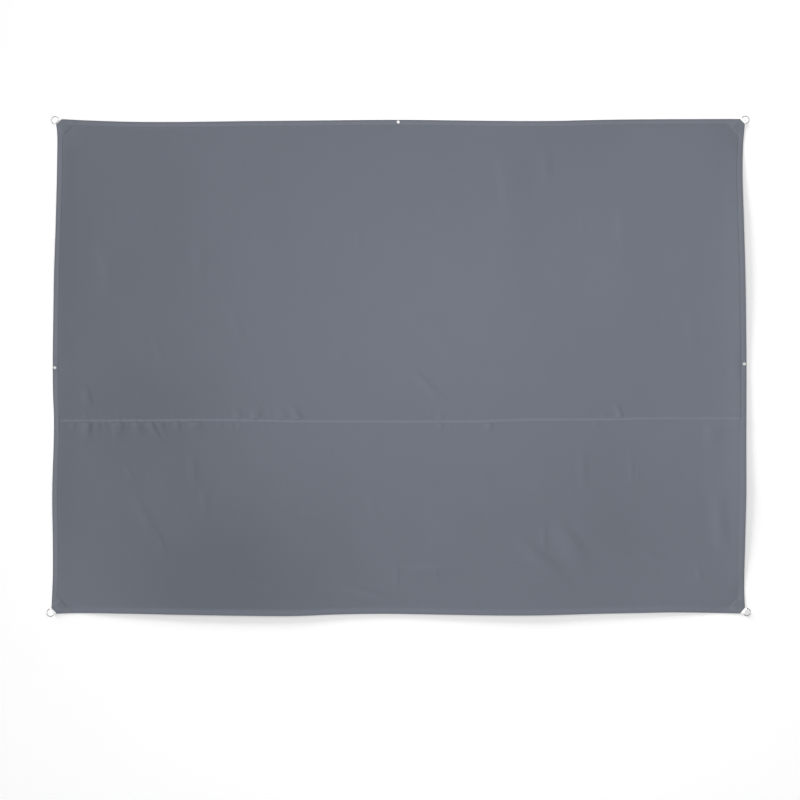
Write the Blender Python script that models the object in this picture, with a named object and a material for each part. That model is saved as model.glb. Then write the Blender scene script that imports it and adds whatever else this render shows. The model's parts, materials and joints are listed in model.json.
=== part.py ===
"""Rectangular shade sail, laid out face up on a flat surface.

Two lengths of cloth are joined by a lapped seam that runs across the sail. The top and side
hems are strips, each with an eyelet at its middle, and the bottom hem is folded from the lower
panel. Every corner is cut off, covered by a three-cornered patch and held by a D-ring in a
webbing loop. +X runs along the long side, +Y across the seam and +Z up; lengths are metres.

Cloth pieces are drawn on a true rectangle, as they are cut. settle() then bows their edges and
seam as they lie, and relief() lifts them where the cloth stands off the surface.
"""

import math
from collections import namedtuple

import bmesh
import bpy
from mathutils import Matrix, Vector
from mathutils.geometry import delaunay_2d_cdt

# Driving dimensions
LENGTH = 3.5
WIDTH = 2.5
HALF_LENGTH = LENGTH / 2
HALF_WIDTH = WIDTH / 2
GAP = 0.0003  # left between pieces that touch

# Cloth, hems and the seam
CLOTH = 0.0010
HEM_WIDTH = 0.0270
HEM_THICKNESS = 0.0024
HEM_ROUND = 0.0008
HEM_LIP = 0.0057  # how far a hem strip reaches over its panel
HEM_TIP = 0.0140  # a hem's line that ends where the cut meets the mitre
LAP_LOW = -0.0070
LAP_HIGH = 0.0068
LAP_THICKNESS = 0.0012
LAP_RAMP = 0.0090
SEAM_Y = -0.2730

# Corners
PATCH_LEG = 0.1150
PATCH_INSET = 0.0015
PATCH_HUMP = 0.0245  # half the width of the patch's rise over the webbing
PATCH_FLANK = 0.0090  # over which it comes down on either side
PATCH_TOP = 0.0735  # where that rise ends, from the true corner
PATCH_RAMP = 0.0060  # over which it comes down there
PATCH_HOLD = 0.0040  # the patch stays at the hems' height this far past them
PATCH_FALL = 0.0120
PATCH_PAST = 0.0050  # the hems' mesh has a line this far past a patch
PATCH_ROWS = (0.010, 0.026, 0.040, 0.055, PATCH_TOP)
PATCH_COLUMNS = (0.042, 0.058, 0.075, 0.095)

# D-rings and their webbing
WIRE_RADIUS = 0.0020
RING_HALF_WIDTH = 0.0185  # to the wire's middle
RING_DEPTH = 0.0280  # from the bar's middle to the bow's
RING_CORNER = 0.0035
BAR_HEIGHT = 0.0037
BOW_HEIGHT = 0.00205
WEBBING_HALF_WIDTH = 0.0148
WEBBING_LAYER = 0.0011
LOOP_BORE = WIRE_RADIUS + GAP
TAIL_LENGTH = 0.0500
TAIL_LEVEL = 0.0405  # the tail lies on the hems up to here, then on the panel
TAIL_STEP = 0.0065  # over which it comes down
TAIL_LEAD = 0.0005  # the strap leaves the hems this far before their edge

# Eyelets
EYELET_INSET = 0.0110
EYELET_BORE = 0.0045
BARREL_WALL = 0.0006
FLANGE_RADIUS = 0.0080
WASHER = 0.0006
EYELET_SIDES = 20
EYELET_ROUND = 0.0004
CROWN = 0.0010  # height of the eyelet's top rim
LEVEL_HALF = 0.0250  # the hem lies level for this far either side of an eyelet
LEVEL_FADE = 0.0600  # and is free again this much further

# How the edges lie: bow is how far the edge stands out from the rectangle, lift how far its
# underside stands off the surface, both at a place along the edge.
EdgeRow = namedtuple("EdgeRow", "along bow lift")
LEFT_EDGE = [
    EdgeRow(-1.25, 0.0080, 0.0),
    EdgeRow(-1.06, 0.0000, 0.0),
    EdgeRow(-0.88, -0.0005, 0.0025),
    EdgeRow(-0.64, 0.0020, 0.0045),
    EdgeRow(-0.39, -0.0045, 0.0010),
    EdgeRow(-0.27, -0.0060, 0.0),
    EdgeRow(-0.13, -0.0010, 0.0),
    EdgeRow(0.00, 0.0005, 0.0),
    EdgeRow(0.20, -0.0020, 0.0010),
    EdgeRow(0.46, -0.0070, 0.0055),
    EdgeRow(0.70, -0.0150, 0.0060),
    EdgeRow(0.94, -0.0205, 0.0020),
    EdgeRow(1.13, -0.0230, 0.0),
    EdgeRow(1.19, -0.0210, 0.0),
    EdgeRow(1.25, -0.0125, 0.0),
]
RIGHT_EDGE = [
    EdgeRow(-1.25, 0.0070, 0.0),
    EdgeRow(-1.12, 0.0020, 0.0),
    EdgeRow(-0.88, 0.0057, 0.0080),
    EdgeRow(-0.64, 0.0106, 0.0115),
    EdgeRow(-0.39, 0.0110, 0.0085),
    EdgeRow(0.00, 0.0125, 0.0060),
    EdgeRow(0.15, 0.0110, 0.0075),
    EdgeRow(0.45, 0.0065, 0.0110),
    EdgeRow(0.76, -0.0020, 0.0095),
    EdgeRow(0.97, -0.0070, 0.0040),
    EdgeRow(1.12, -0.0035, 0.0),
    EdgeRow(1.25, 0.0075, 0.0),
]
TOP_EDGE = [
    EdgeRow(-1.75, 0.0035, 0.0),
    EdgeRow(-1.61, -0.0040, 0.0),
    EdgeRow(-1.37, -0.0120, 0.0020),
    EdgeRow(-1.13, -0.0136, 0.0050),
    EdgeRow(-0.76, -0.0092, 0.0040),
    EdgeRow(-0.40, -0.0054, 0.0010),
    EdgeRow(0.00, -0.0020, 0.0),
    EdgeRow(0.33, -0.0058, 0.0015),
    EdgeRow(0.58, -0.0086, 0.0045),
    EdgeRow(0.80, -0.0082, 0.0050),
    EdgeRow(1.00, -0.0030, 0.0020),
    EdgeRow(1.18, 0.0000, 0.0),
    EdgeRow(1.61, 0.0020, 0.0),
    EdgeRow(1.75, 0.0022, 0.0),
]
BOTTOM_EDGE = [
    EdgeRow(-1.75, 0.0045, 0.0),
    EdgeRow(-1.62, 0.0004, 0.0),
    EdgeRow(-1.40, 0.0025, 0.0050),
    EdgeRow(-1.10, 0.0083, 0.0095),
    EdgeRow(-0.76, 0.0132, 0.0115),
    EdgeRow(-0.53, 0.0143, 0.0105),
    EdgeRow(-0.30, 0.0064, 0.0070),
    EdgeRow(-0.06, 0.0034, 0.0055),
    EdgeRow(0.22, 0.0075, 0.0075),
    EdgeRow(0.52, 0.0114, 0.0105),
    EdgeRow(0.73, 0.0105, 0.0110),
    EdgeRow(1.00, 0.0035, 0.0080),
    EdgeRow(1.27, -0.0016, 0.0055),
    EdgeRow(1.40, -0.0034, 0.0040),
    EdgeRow(1.62, 0.0000, 0.0),
    EdgeRow(1.75, 0.0035, 0.0),
]
BOW_REACH = 0.40  # a bow dies out this far inside the edge
LIFT_REACH = 0.24  # and a lift this far
HEM_ZONE = 0.03  # the bow is whole across the hem

# The seam's line, as how far it stands above SEAM_Y.
SeamRow = namedtuple("SeamRow", "along rise")
SEAM_LINE = [
    SeamRow(-1.75, -0.003),
    SeamRow(-1.30, -0.002),
    SeamRow(-0.90, 0.000),
    SeamRow(-0.50, -0.006),
    SeamRow(0.40, -0.007),
    SeamRow(0.62, 0.001),
    SeamRow(1.00, 0.003),
    SeamRow(1.32, 0.008),
    SeamRow(1.75, 0.009),
]
SEAM_REACH = 0.45  # the drift dies out this far from the seam

# Soft ridges that lie free in the panels.
Fold = namedtuple("Fold", "x y heading half_length half_width height")
FOLDS = [
    Fold(-1.28, -0.58, -53, 0.17, 0.055, 0.0050),
    Fold(-1.00, -0.60, -79, 0.17, 0.050, 0.0045),
    Fold(-1.56, 0.54, 88, 0.18, 0.050, 0.0045),
    Fold(0.17, -0.07, -40, 0.15, 0.045, 0.0035),
    Fold(0.80, -0.95, -26, 0.27, 0.055, 0.0060),
    Fold(0.79, -0.84, -62, 0.13, 0.045, 0.0045),
    Fold(0.96, -0.58, -84, 0.14, 0.045, 0.0035),
    Fold(1.20, -0.54, -92, 0.12, 0.045, 0.0030),
    Fold(1.58, -0.88, -74, 0.20, 0.050, 0.0040),
    Fold(-0.18, -1.13, -17, 0.20, 0.045, 0.0045),
    Fold(0.52, 0.94, 86, 0.19, 0.045, 0.0035),
    Fold(1.10, 0.76, 80, 0.12, 0.045, 0.0030),
]

# Short puckers that the sewing draws up, on one side of the seam.
Pucker = namedtuple("Pucker", "x side half_width reach height")
PUCKERS = [
    Pucker(-1.66, -1, 0.018, 0.09, 0.0025),
    Pucker(-1.55, -1, 0.024, 0.12, 0.0042),
    Pucker(-1.47, 1, 0.024, 0.16, 0.0035),
    Pucker(-1.38, -1, 0.026, 0.11, 0.0036),
    Pucker(-1.23, -1, 0.032, 0.13, 0.0036),
    Pucker(-0.96, -1, 0.028, 0.09, 0.0026),
    Pucker(-0.75, 1, 0.028, 0.10, 0.0032),
    Pucker(-0.53, 1, 0.026, 0.09, 0.0030),
    Pucker(-0.24, -1, 0.026, 0.08, 0.0022),
    Pucker(0.08, 1, 0.026, 0.08, 0.0020),
    Pucker(0.45, -1, 0.028, 0.08, 0.0024),
    Pucker(0.80, 1, 0.026, 0.08, 0.0020),
    Pucker(1.10, 1, 0.026, 0.11, 0.0030),
    Pucker(1.55, -1, 0.024, 0.15, 0.0030),
]
PUCKER_BACK = 0.035  # a pucker dies out this far on the seam's other side

# Corners: side and end are the signs of X and Y there. The cut takes cut_x off the edge along X
# and cut_y off the edge along Y. The webbing is sewn on slide from the middle of the cut and
# turned by so many degrees, both towards the side edge, and the ring's bar stands bar_out.
Corner = namedtuple("Corner", "name side end cut_x cut_y slide turn bar_out")
CORNERS = [
    Corner("top_left", -1, 1, 0.0340, 0.0270, 0.0080, 10.0, 0.0085),
    Corner("top_right", 1, 1, 0.0260, 0.0230, 0.0035, 8.0, 0.0062),
    Corner("bottom_left", -1, -1, 0.0265, 0.0285, 0.0035, 5.0, 0.0096),
    Corner("bottom_right", 1, -1, 0.0275, 0.0285, 0.0065, 11.0, 0.0112),
]

Eyelet = namedtuple("Eyelet", "name x y")
EYELETS = [
    Eyelet("top", 0.0, HALF_WIDTH - EYELET_INSET),
    Eyelet("left", -HALF_LENGTH + EYELET_INSET, -0.0066),
    Eyelet("right", HALF_LENGTH - EYELET_INSET, 0.0086),
]

# Mesh spacing
HEM_STEP = 0.105
LATTICE_STEP = 0.150
EDGE_LINES = (0.06, 0.12, 0.19, LIFT_REACH)
POINT_CLEARANCE = 0.022

# Finishes
Finish = namedtuple("Finish", "color roughness metallic")
CLOTH_FINISH = Finish((0.155, 0.173, 0.204, 1.0), 0.85, 0.0)
HEM_FINISH = Finish((0.172, 0.190, 0.221, 1.0), 0.85, 0.0)
PATCH_FINISH = Finish((0.168, 0.185, 0.215, 1.0), 0.85, 0.0)
WEBBING_FINISH = Finish((0.80, 0.80, 0.78, 1.0), 0.75, 0.0)
STEEL_FINISH = Finish((0.60, 0.61, 0.62, 1.0), 0.25, 1.0)
EYELET_FINISH = Finish((0.74, 0.74, 0.72, 1.0), 0.30, 1.0)


def clear_scene():
    for old in list(bpy.data.objects):
        bpy.data.objects.remove(old, do_unlink=True)


def new_material(name, finish):
    material = bpy.data.materials.new(name)
    material.use_nodes = True
    shader = material.node_tree.nodes["Principled BSDF"]
    shader.inputs["Base Color"].default_value = finish.color
    shader.inputs["Roughness"].default_value = finish.roughness
    shader.inputs["Metallic"].default_value = finish.metallic
    return material


def add_object(name, data, finish):
    node = bpy.data.objects.new(name, data)
    bpy.context.scene.collection.objects.link(node)
    data.materials.append(new_material(name, finish))
    return node


def mesh_object(name, work, finish):
    """Turns a bmesh into an object with its faces pointing out."""
    bmesh.ops.recalc_face_normals(work, faces=work.faces)
    mesh = bpy.data.meshes.new(name)
    work.to_mesh(mesh)
    work.free()
    return add_object(name, mesh, finish)


# How the cloth lies


def hump(t):
    """1 at the middle, falling smoothly to 0 at 1 and past it."""
    return math.cos(math.pi / 2 * t) ** 2 if abs(t) < 1 else 0.0


def smooth_value(rows, along, column):
    """Reads a column of a table at a place along it, on a smooth curve through its rows."""
    place = min(max(along, rows[0].along), rows[-1].along)
    last = len(rows) - 1
    first = 0
    while first < last - 1 and rows[first + 1].along < place:
        first += 1
    near = [rows[min(max(first + step, 0), last)] for step in (-1, 0, 1, 2)]
    values = [getattr(row, column) for row in near]
    places = [row.along for row in near]
    span = places[2] - places[1]
    start_slope = (values[2] - values[0]) / (places[2] - places[0])
    end_slope = (values[3] - values[1]) / (places[3] - places[1])
    t = (place - places[1]) / span
    return (
        values[1] * (2 * t**3 - 3 * t**2 + 1)
        + start_slope * span * (t**3 - 2 * t**2 + t)
        + values[2] * (3 * t**2 - 2 * t**3)
        + end_slope * span * (t**3 - t**2)
    )


def edge_distances(x, y):
    """The four edges' tables, each with the place along it and the distance inside it."""
    return (
        (LEFT_EDGE, y, x + HALF_LENGTH),
        (RIGHT_EDGE, y, HALF_LENGTH - x),
        (TOP_EDGE, x, HALF_WIDTH - y),
        (BOTTOM_EDGE, x, y + HALF_WIDTH),
    )


def settle(x, y):
    """Where a point of the rectangle lies once the edges have bowed and the seam has drifted."""
    shifts = []
    for table, along, inside in edge_distances(x, y):
        share = hump(max(0.0, inside - HEM_ZONE) / BOW_REACH)
        shifts.append(share * smooth_value(table, along, "bow") if share else 0.0)
    left, right, top, bottom = shifts
    drift = smooth_value(SEAM_LINE, x, "rise") * hump((y - SEAM_Y) / SEAM_REACH)
    return x - left + right, y + top - bottom + drift


def edge_lift(x, y):
    height = 0.0
    for table, along, inside in edge_distances(x, y):
        if inside < LIFT_REACH:
            lift = max(0.0, smooth_value(table, along, "lift"))
            height += lift * (1 - max(inside, 0.0) / LIFT_REACH) ** 2
    return height


def fold_lift(fold, x, y):
    turn = math.radians(fold.heading)
    along = (x - fold.x) * math.cos(turn) + (y - fold.y) * math.sin(turn)
    across = (y - fold.y) * math.cos(turn) - (x - fold.x) * math.sin(turn)
    return fold.height * hump(along / fold.half_length) * hump(across / fold.half_width)


def pucker_lift(pucker, x, y):
    """The same height across the whole lap, so that its two layers stay apart."""
    away = max(0.0, abs(y - SEAM_Y) - LAP_HIGH - LAP_RAMP)
    reach = pucker.reach if (y - SEAM_Y) * pucker.side > 0 else PUCKER_BACK
    return pucker.height * hump((x - pucker.x) / pucker.half_width) * hump(away / reach)


def loose_relief(x, y):
    height = edge_lift(x, y)
    height += sum(fold_lift(fold, x, y) for fold in FOLDS)
    return height + sum(pucker_lift(pucker, x, y) for pucker in PUCKERS)


def level_share(eyelet, x, y):
    """How far the hem is held level by an eyelet: 1 beside it, 0 well away from it."""
    if eyelet.name == "top":
        along, inside = x, HALF_WIDTH - y
    else:
        along, inside = y, HALF_LENGTH - x * math.copysign(1, eyelet.x)
    past = max(0.0, abs(along) - LEVEL_HALF, inside - HEM_ZONE)
    return hump(past / LEVEL_FADE)


def relief(x, y):
    """How far the cloth's underside stands off the surface."""
    height = loose_relief(x, y)
    for eyelet in EYELETS:
        share = level_share(eyelet, x, y)
        if share:
            height += share * (loose_relief(eyelet.x, eyelet.y) - height)
    return height


# Sheets of cloth


def stations(start, stop, step, special):
    """Even places from start to stop, with the special ones in place of those beside them."""
    count = max(1, round((stop - start) / step))
    even = [start + (stop - start) * index / count for index in range(count + 1)]
    clear = step / 3
    kept = [place for place in special if start + clear / 3 < place < stop - clear / 3]
    inner = [p for p in even[1:-1] if all(abs(p - place) > clear for place in kept)]
    return [start] + sorted(inner + kept) + [stop]


def close_sheet(name, points, triangles, layer, finish):
    """A closed sheet over a flat triangulation; layer gives its underside and top at a point."""
    work = bmesh.new()
    low, high = [], []
    for x, y in points:
        under, over = layer(x, y)
        rise = relief(x, y)
        lies = settle(x, y)
        low.append(work.verts.new((*lies, under + rise)))
        high.append(work.verts.new((*lies, over + rise)))
    sides = {}
    for triangle in triangles:
        work.faces.new([high[index] for index in triangle])
        work.faces.new([low[index] for index in reversed(triangle)])
        for start, stop in zip(triangle, triangle[1:] + triangle[:1]):
            sides[(start, stop)] = True
    for start, stop in sides:
        if (stop, start) not in sides:
            work.faces.new((low[start], low[stop], high[stop], high[start]))
    return mesh_object(name, work, finish)


def triangulate(lines, extra):
    """Triangles over rows of points, each row a crease, with extra points between them."""
    points = [Vector(point) for line in lines for point in line]
    starts = [sum(len(line) for line in lines[:index]) for index in range(len(lines))]
    creases = []
    for start, line in zip(starts, lines):
        creases += [(start + step, start + step + 1) for step in range(len(line) - 1)]
    for this, above in zip(range(len(lines) - 1), range(1, len(lines))):
        creases.append((starts[this], starts[above]))
        ends = (starts[this] + len(lines[this]) - 1, starts[above] + len(lines[above]) - 1)
        creases.append(ends)
    points += [Vector(point) for point in extra]
    found = delaunay_2d_cdt(points, creases, [], 1, 1e-6)
    flat = [(point.x, point.y) for point in found[0]]
    return flat, [tuple(face) for face in found[2]]


def strip_faces(rows):
    """Triangles over rows of equal length, with both layers of a cell split the same way."""
    width = len(rows[0])
    triangles = []
    for row in range(len(rows) - 1):
        for column in range(width - 1):
            near = row * width + column
            far = near + width
            triangles += [(near, near + 1, far + 1), (near, far + 1, far)]
    return [point for row in rows for point in row], triangles


def fold_points():
    """Points on each fold's crest, flanks and feet."""
    steps = (-1.0, -0.5, 0.0, 0.5, 1.0)
    for fold in FOLDS:
        turn = math.radians(fold.heading)
        for along in (step * fold.half_length for step in steps):
            for across in (step * fold.half_width for step in steps):
                yield (
                    fold.x + along * math.cos(turn) - across * math.sin(turn),
                    fold.y + along * math.sin(turn) + across * math.cos(turn),
                )


def pucker_points():
    """Points along each pucker, away from the seam."""
    for pucker in PUCKERS:
        foot = LAP_HIGH + LAP_RAMP
        for away in (foot + pucker.reach * step for step in (0.35, 0.7, 1.0)):
            for across in (-pucker.half_width, 0.0, pucker.half_width):
                yield (pucker.x + across, SEAM_Y + pucker.side * away)


def lattice_points(low, high):
    """Points inside the panel, closer together where the edges lift."""
    inner = [HALF_LENGTH - line for line in EDGE_LINES]
    xs = [-place for place in inner] + inner
    xs += stations(-inner[-1], inner[-1], LATTICE_STEP, [])[1:-1]
    near = [HALF_WIDTH - line for line in EDGE_LINES]
    ys = [-place for place in near] + near
    ys += stations(-near[-1], near[-1], LATTICE_STEP, [])[1:-1]
    for x in xs:
        for y in ys:
            if low < y < high:
                yield (x, y)


def spread(points, low, high):
    """Keeps the points between two heights that lie clear of the edge and of each other."""
    clear = POINT_CLEARANCE
    kept = []
    side = HALF_LENGTH - HEM_WIDTH - clear
    for x, y in points:
        inside = abs(x) < side and low + clear < y < high - clear
        if inside and all(math.hypot(x - a, y - b) > clear for a, b in kept):
            kept.append((x, y))
    return kept


def seam_stations():
    special = []
    for pucker in PUCKERS:
        special += [pucker.x + pucker.half_width * step for step in (-1, -0.5, 0, 0.5, 1)]
    edge = panel_side()
    return stations(-edge, edge, HEM_STEP, special)


def level_places():
    return [-LEVEL_HALF - LEVEL_FADE, -LEVEL_HALF, LEVEL_HALF, LEVEL_HALF + LEVEL_FADE]


def patch_ends(half):
    """Where the patches end along an edge of this half length, a little past them."""
    past = half - PATCH_LEG - PATCH_PAST
    return [-past, past]


def top_stations():
    edge = panel_side()
    return stations(-edge, edge, HEM_STEP, level_places() + patch_ends(HALF_LENGTH))


def bottom_stations():
    edge = HALF_LENGTH - 2 * HEM_WIDTH
    return stations(-edge, edge, HEM_STEP, patch_ends(HALF_LENGTH))


def side_stations(low, high):
    """Places along a side, shared by its hem and by both panels, between two heights."""
    special = level_places() + patch_ends(HALF_WIDTH)
    foot = LAP_HIGH + LAP_RAMP
    special += [SEAM_Y + place for place in (-2 * foot, -foot, foot, 2 * foot)]
    whole = stations(-HALF_WIDTH, HALF_WIDTH, HEM_STEP, special)
    return [y for y in whole if low < y < high]


def panel_side():
    """How far a panel reaches on either side, under the lips of the side hems."""
    return HALF_LENGTH - HEM_WIDTH + HEM_LIP - GAP


def upper_panel():
    edge = panel_side()
    top = HALF_WIDTH - HEM_WIDTH + HEM_LIP - GAP
    ramp_top = SEAM_Y + LAP_HIGH + LAP_RAMP
    across = seam_stations()
    lines = [
        [(x, SEAM_Y + LAP_LOW) for x in across],
        [(x, SEAM_Y + LAP_HIGH + GAP) for x in across],
        [(x, ramp_top) for x in across],
        [(x, top) for x in top_stations()],
    ]
    sides = [(side * edge, y) for y in side_stations(ramp_top, top) for side in (-1, 1)]
    inside = list(fold_points()) + list(pucker_points()) + list(lattice_points(ramp_top, top))
    extra = sides + spread(inside, ramp_top, top)
    points, triangles = triangulate(lines, extra)

    def layer(x, y):
        in_lap = 1 - min(max((y - SEAM_Y - LAP_HIGH - GAP) / (LAP_RAMP - GAP), 0.0), 1.0)
        under = in_lap * (CLOTH + GAP)
        return under, under + CLOTH + in_lap * (LAP_THICKNESS - CLOTH)

    return close_sheet("upper_panel", points, triangles, layer, CLOTH_FINISH)


def hem_end(corner, along_x, inside, is_tip):
    """Where a line of a hem ends at a corner: how far along the edge, and how far inside it.

    The hem ends on the cut, then on the mitre; is_tip marks the line that ends where they meet.
    """
    along, off = (corner.cut_x, corner.cut_y) if along_x else (corner.cut_y, corner.cut_x)
    mitre_gap = GAP / math.sqrt(2)
    if is_tip:
        inside = (along - mitre_gap) / (1 + along / off)
    return max(along * (1 - inside / off), inside + mitre_gap), inside


def corner_named(side, end):
    return next(corner for corner in CORNERS if (corner.side, corner.end) == (side, end))


def lower_panel():
    edge = panel_side()
    bottom = -HALF_WIDTH
    lap_top = SEAM_Y + LAP_HIGH - GAP
    shoulder = HEM_WIDTH - HEM_ROUND
    insides = (0.0, HEM_ROUND, HEM_TIP, shoulder, HEM_WIDTH)
    hem_lines = [end_hem_line(-1, inside, bottom_stations()) for inside in insides]
    foot = bottom + HEM_WIDTH + 4 * GAP
    low = SEAM_Y - LAP_HIGH - LAP_RAMP
    lines = hem_lines + [
        [(x, foot) for x in [-edge] + bottom_stations() + [edge]],
        [(x, low) for x in seam_stations()],
        [(x, lap_top) for x in seam_stations()],
    ]
    sides = [(side * edge, y) for y in side_stations(foot, low) for side in (-1, 1)]
    inside = list(fold_points()) + list(pucker_points()) + list(lattice_points(foot, low))
    extra = sides + spread(inside, foot, low)
    points, triangles = triangulate(lines, extra)

    def layer(x, y):
        inside = y - bottom
        if inside > HEM_WIDTH - HEM_ROUND / 2:
            return 0.0, CLOTH
        if inside < HEM_ROUND / 2:
            return HEM_ROUND, HEM_THICKNESS - HEM_ROUND
        return 0.0, HEM_THICKNESS

    return close_sheet("lower_panel", points, triangles, layer, CLOTH_FINISH)


def end_hem_line(end, inside, places):
    """A line along the hem of the top or bottom edge, from one corner to the other."""
    line = [(x, end * (HALF_WIDTH - inside)) for x in places]
    ends = []
    for side in (-1, 1):
        along, deep = hem_end(corner_named(side, end), True, inside, inside == HEM_TIP)
        ends.append((side * (HALF_LENGTH - along), end * (HALF_WIDTH - deep)))
    return [ends[0]] + line + [ends[1]]


def side_hem_line(side, inside, places):
    """A line along a side hem, from the bottom corner to the top one."""
    line = [(side * (HALF_LENGTH - inside), y) for y in places]
    ends = []
    for end in (-1, 1):
        along, deep = hem_end(corner_named(side, end), False, inside, inside == HEM_TIP)
        ends.append((side * (HALF_LENGTH - deep), end * (HALF_WIDTH - along)))
    return [ends[0]] + line + [ends[1]]


def hem_layer(inside, seam_rise):
    """Underside and top of a hem strip at a distance inside the edge."""
    panel_edge = HEM_WIDTH - HEM_LIP
    if inside < HEM_ROUND / 2:
        return HEM_ROUND, HEM_THICKNESS - HEM_ROUND
    if inside < panel_edge - 2 * GAP:
        return 0.0, HEM_THICKNESS + seam_rise
    round_off = HEM_ROUND / 2 if inside > HEM_WIDTH - HEM_ROUND / 2 else 0.0
    return CLOTH + GAP + seam_rise, HEM_THICKNESS + seam_rise - round_off


def hem_insides():
    panel_edge = HEM_WIDTH - HEM_LIP
    return (
        0.0,
        HEM_ROUND,
        HEM_TIP,
        panel_edge - 3 * GAP,
        panel_edge - GAP,
        HEM_WIDTH - HEM_ROUND,
        HEM_WIDTH,
    )


def seam_rise(y):
    """How much thicker a side hem is where it is folded over the seam."""
    foot = LAP_HIGH + LAP_RAMP
    past = max(0.0, abs(y - SEAM_Y) - foot)
    return (LAP_THICKNESS + GAP) * (1 - min(past / foot, 1.0))


def top_hem():
    lines = [end_hem_line(1, inside, top_stations()[1:-1]) for inside in hem_insides()]
    points, triangles = strip_faces(lines[::-1])
    return close_sheet(
        "top_hem", points, triangles, lambda x, y: hem_layer(HALF_WIDTH - y, 0.0), HEM_FINISH
    )


def side_hem(name, side):
    places = side_stations(-HALF_WIDTH + 2 * HEM_WIDTH, HALF_WIDTH - 2 * HEM_WIDTH)
    lines = [side_hem_line(side, inside, places) for inside in hem_insides()]
    rows = [list(row) for row in zip(*lines[::-side])]
    points, triangles = strip_faces(rows)

    def layer(x, y):
        return hem_layer(HALF_LENGTH - abs(x), seam_rise(y))

    return close_sheet(name, points, triangles, layer, HEM_FINISH)


# Eyelets


def turned(name, profile, sides, place, finish):
    """A closed profile of (radius, height) points, turned about an upright axis at place."""
    work = bmesh.new()
    rings = []
    for index in range(sides):
        angle = 2 * math.pi * index / sides
        spot = (math.cos(angle), math.sin(angle))
        ring = [work.verts.new((r * spot[0], r * spot[1], z)) for r, z in profile]
        rings.append(ring)
    count = len(profile)
    for ring, beside in zip(rings, rings[1:] + rings[:1]):
        for index in range(count):
            after = (index + 1) % count
            work.faces.new((ring[index], beside[index], beside[after], ring[after]))
    node = mesh_object(name, work, finish)
    node.location = place
    node.data.shade_smooth()
    node.data.set_sharp_from_angle(angle=math.radians(40))
    return node


def eyelet_place(eyelet):
    x, y = settle(eyelet.x, eyelet.y)
    return Vector((x, y, relief(eyelet.x, eyelet.y)))


def eyelet_node(eyelet):
    bore = EYELET_BORE
    barrel = bore + BARREL_WALL
    seat = HEM_THICKNESS + GAP
    profile = [
        (bore, EYELET_ROUND),
        (bore + EYELET_ROUND, 0.0),
        (FLANGE_RADIUS, 0.0),
        (FLANGE_RADIUS, WASHER),
        (barrel, WASHER),
        (barrel, seat),
        (FLANGE_RADIUS, seat),
        (FLANGE_RADIUS - 2 * EYELET_ROUND, seat + 0.7 * CROWN),
        (barrel + 2 * EYELET_ROUND, seat + CROWN),
        (bore, seat + EYELET_ROUND),
    ]
    name = "eyelet_" + eyelet.name
    return turned(name, profile, EYELET_SIDES, eyelet_place(eyelet), EYELET_FINISH)


def cutter(name, radius, low, high, place):
    mesh = bpy.data.meshes.new(name)
    work = bmesh.new()
    bmesh.ops.create_cone(
        work,
        cap_ends=True,
        segments=EYELET_SIDES,
        radius1=radius,
        radius2=radius,
        depth=high - low,
        matrix=Matrix.Translation((0, 0, (low + high) / 2)),
    )
    work.to_mesh(mesh)
    work.free()
    tool = bpy.data.objects.new(name, mesh)
    bpy.context.scene.collection.objects.link(tool)
    tool.location = place
    tool.hide_render = True
    tool.display_type = "WIRE"
    return tool


def cut(node, tool):
    modifier = node.modifiers.new("cut " + tool.name, "BOOLEAN")
    modifier.operation = "DIFFERENCE"
    modifier.solver = "EXACT"
    modifier.object = tool


def pierce(hem, eyelet):
    """Makes the eyelet's hole through its hem, and the seat of its washer in the underside."""
    place = eyelet_place(eyelet)
    past = HEM_THICKNESS
    hole = EYELET_BORE + BARREL_WALL + GAP
    seat = FLANGE_RADIUS + GAP
    cut(hem, cutter("hole_" + eyelet.name, hole, -past, 2 * past, place))
    cut(hem, cutter("seat_" + eyelet.name, seat, -past, WASHER + GAP, place))


# Corners


def corner_point(corner, side_inside, end_inside):
    """A point by its distances inside the side edge and the end edge of a corner."""
    return (
        corner.side * (HALF_LENGTH - side_inside),
        corner.end * (HALF_WIDTH - end_inside),
    )


def patch_support(deep, across):
    """What a patch lies on, at a depth from the true corner and a distance across it."""
    inside = (deep - abs(across)) / math.sqrt(2)
    off_hem = min(max((inside - HEM_WIDTH - PATCH_HOLD) / PATCH_FALL, 0.0), 1.0)
    support = HEM_THICKNESS + off_hem * (CLOTH - HEM_THICKNESS)
    tail_top = HEM_THICKNESS + GAP + 2 * WEBBING_LAYER
    beside = max(abs(across) - PATCH_HUMP, 0.0) / PATCH_FLANK
    past = max(deep - PATCH_TOP, 0.0) / PATCH_RAMP
    off_tail = min(max(beside, past), 1.0)
    return max(support, tail_top + off_tail * (CLOTH - tail_top))


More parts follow.
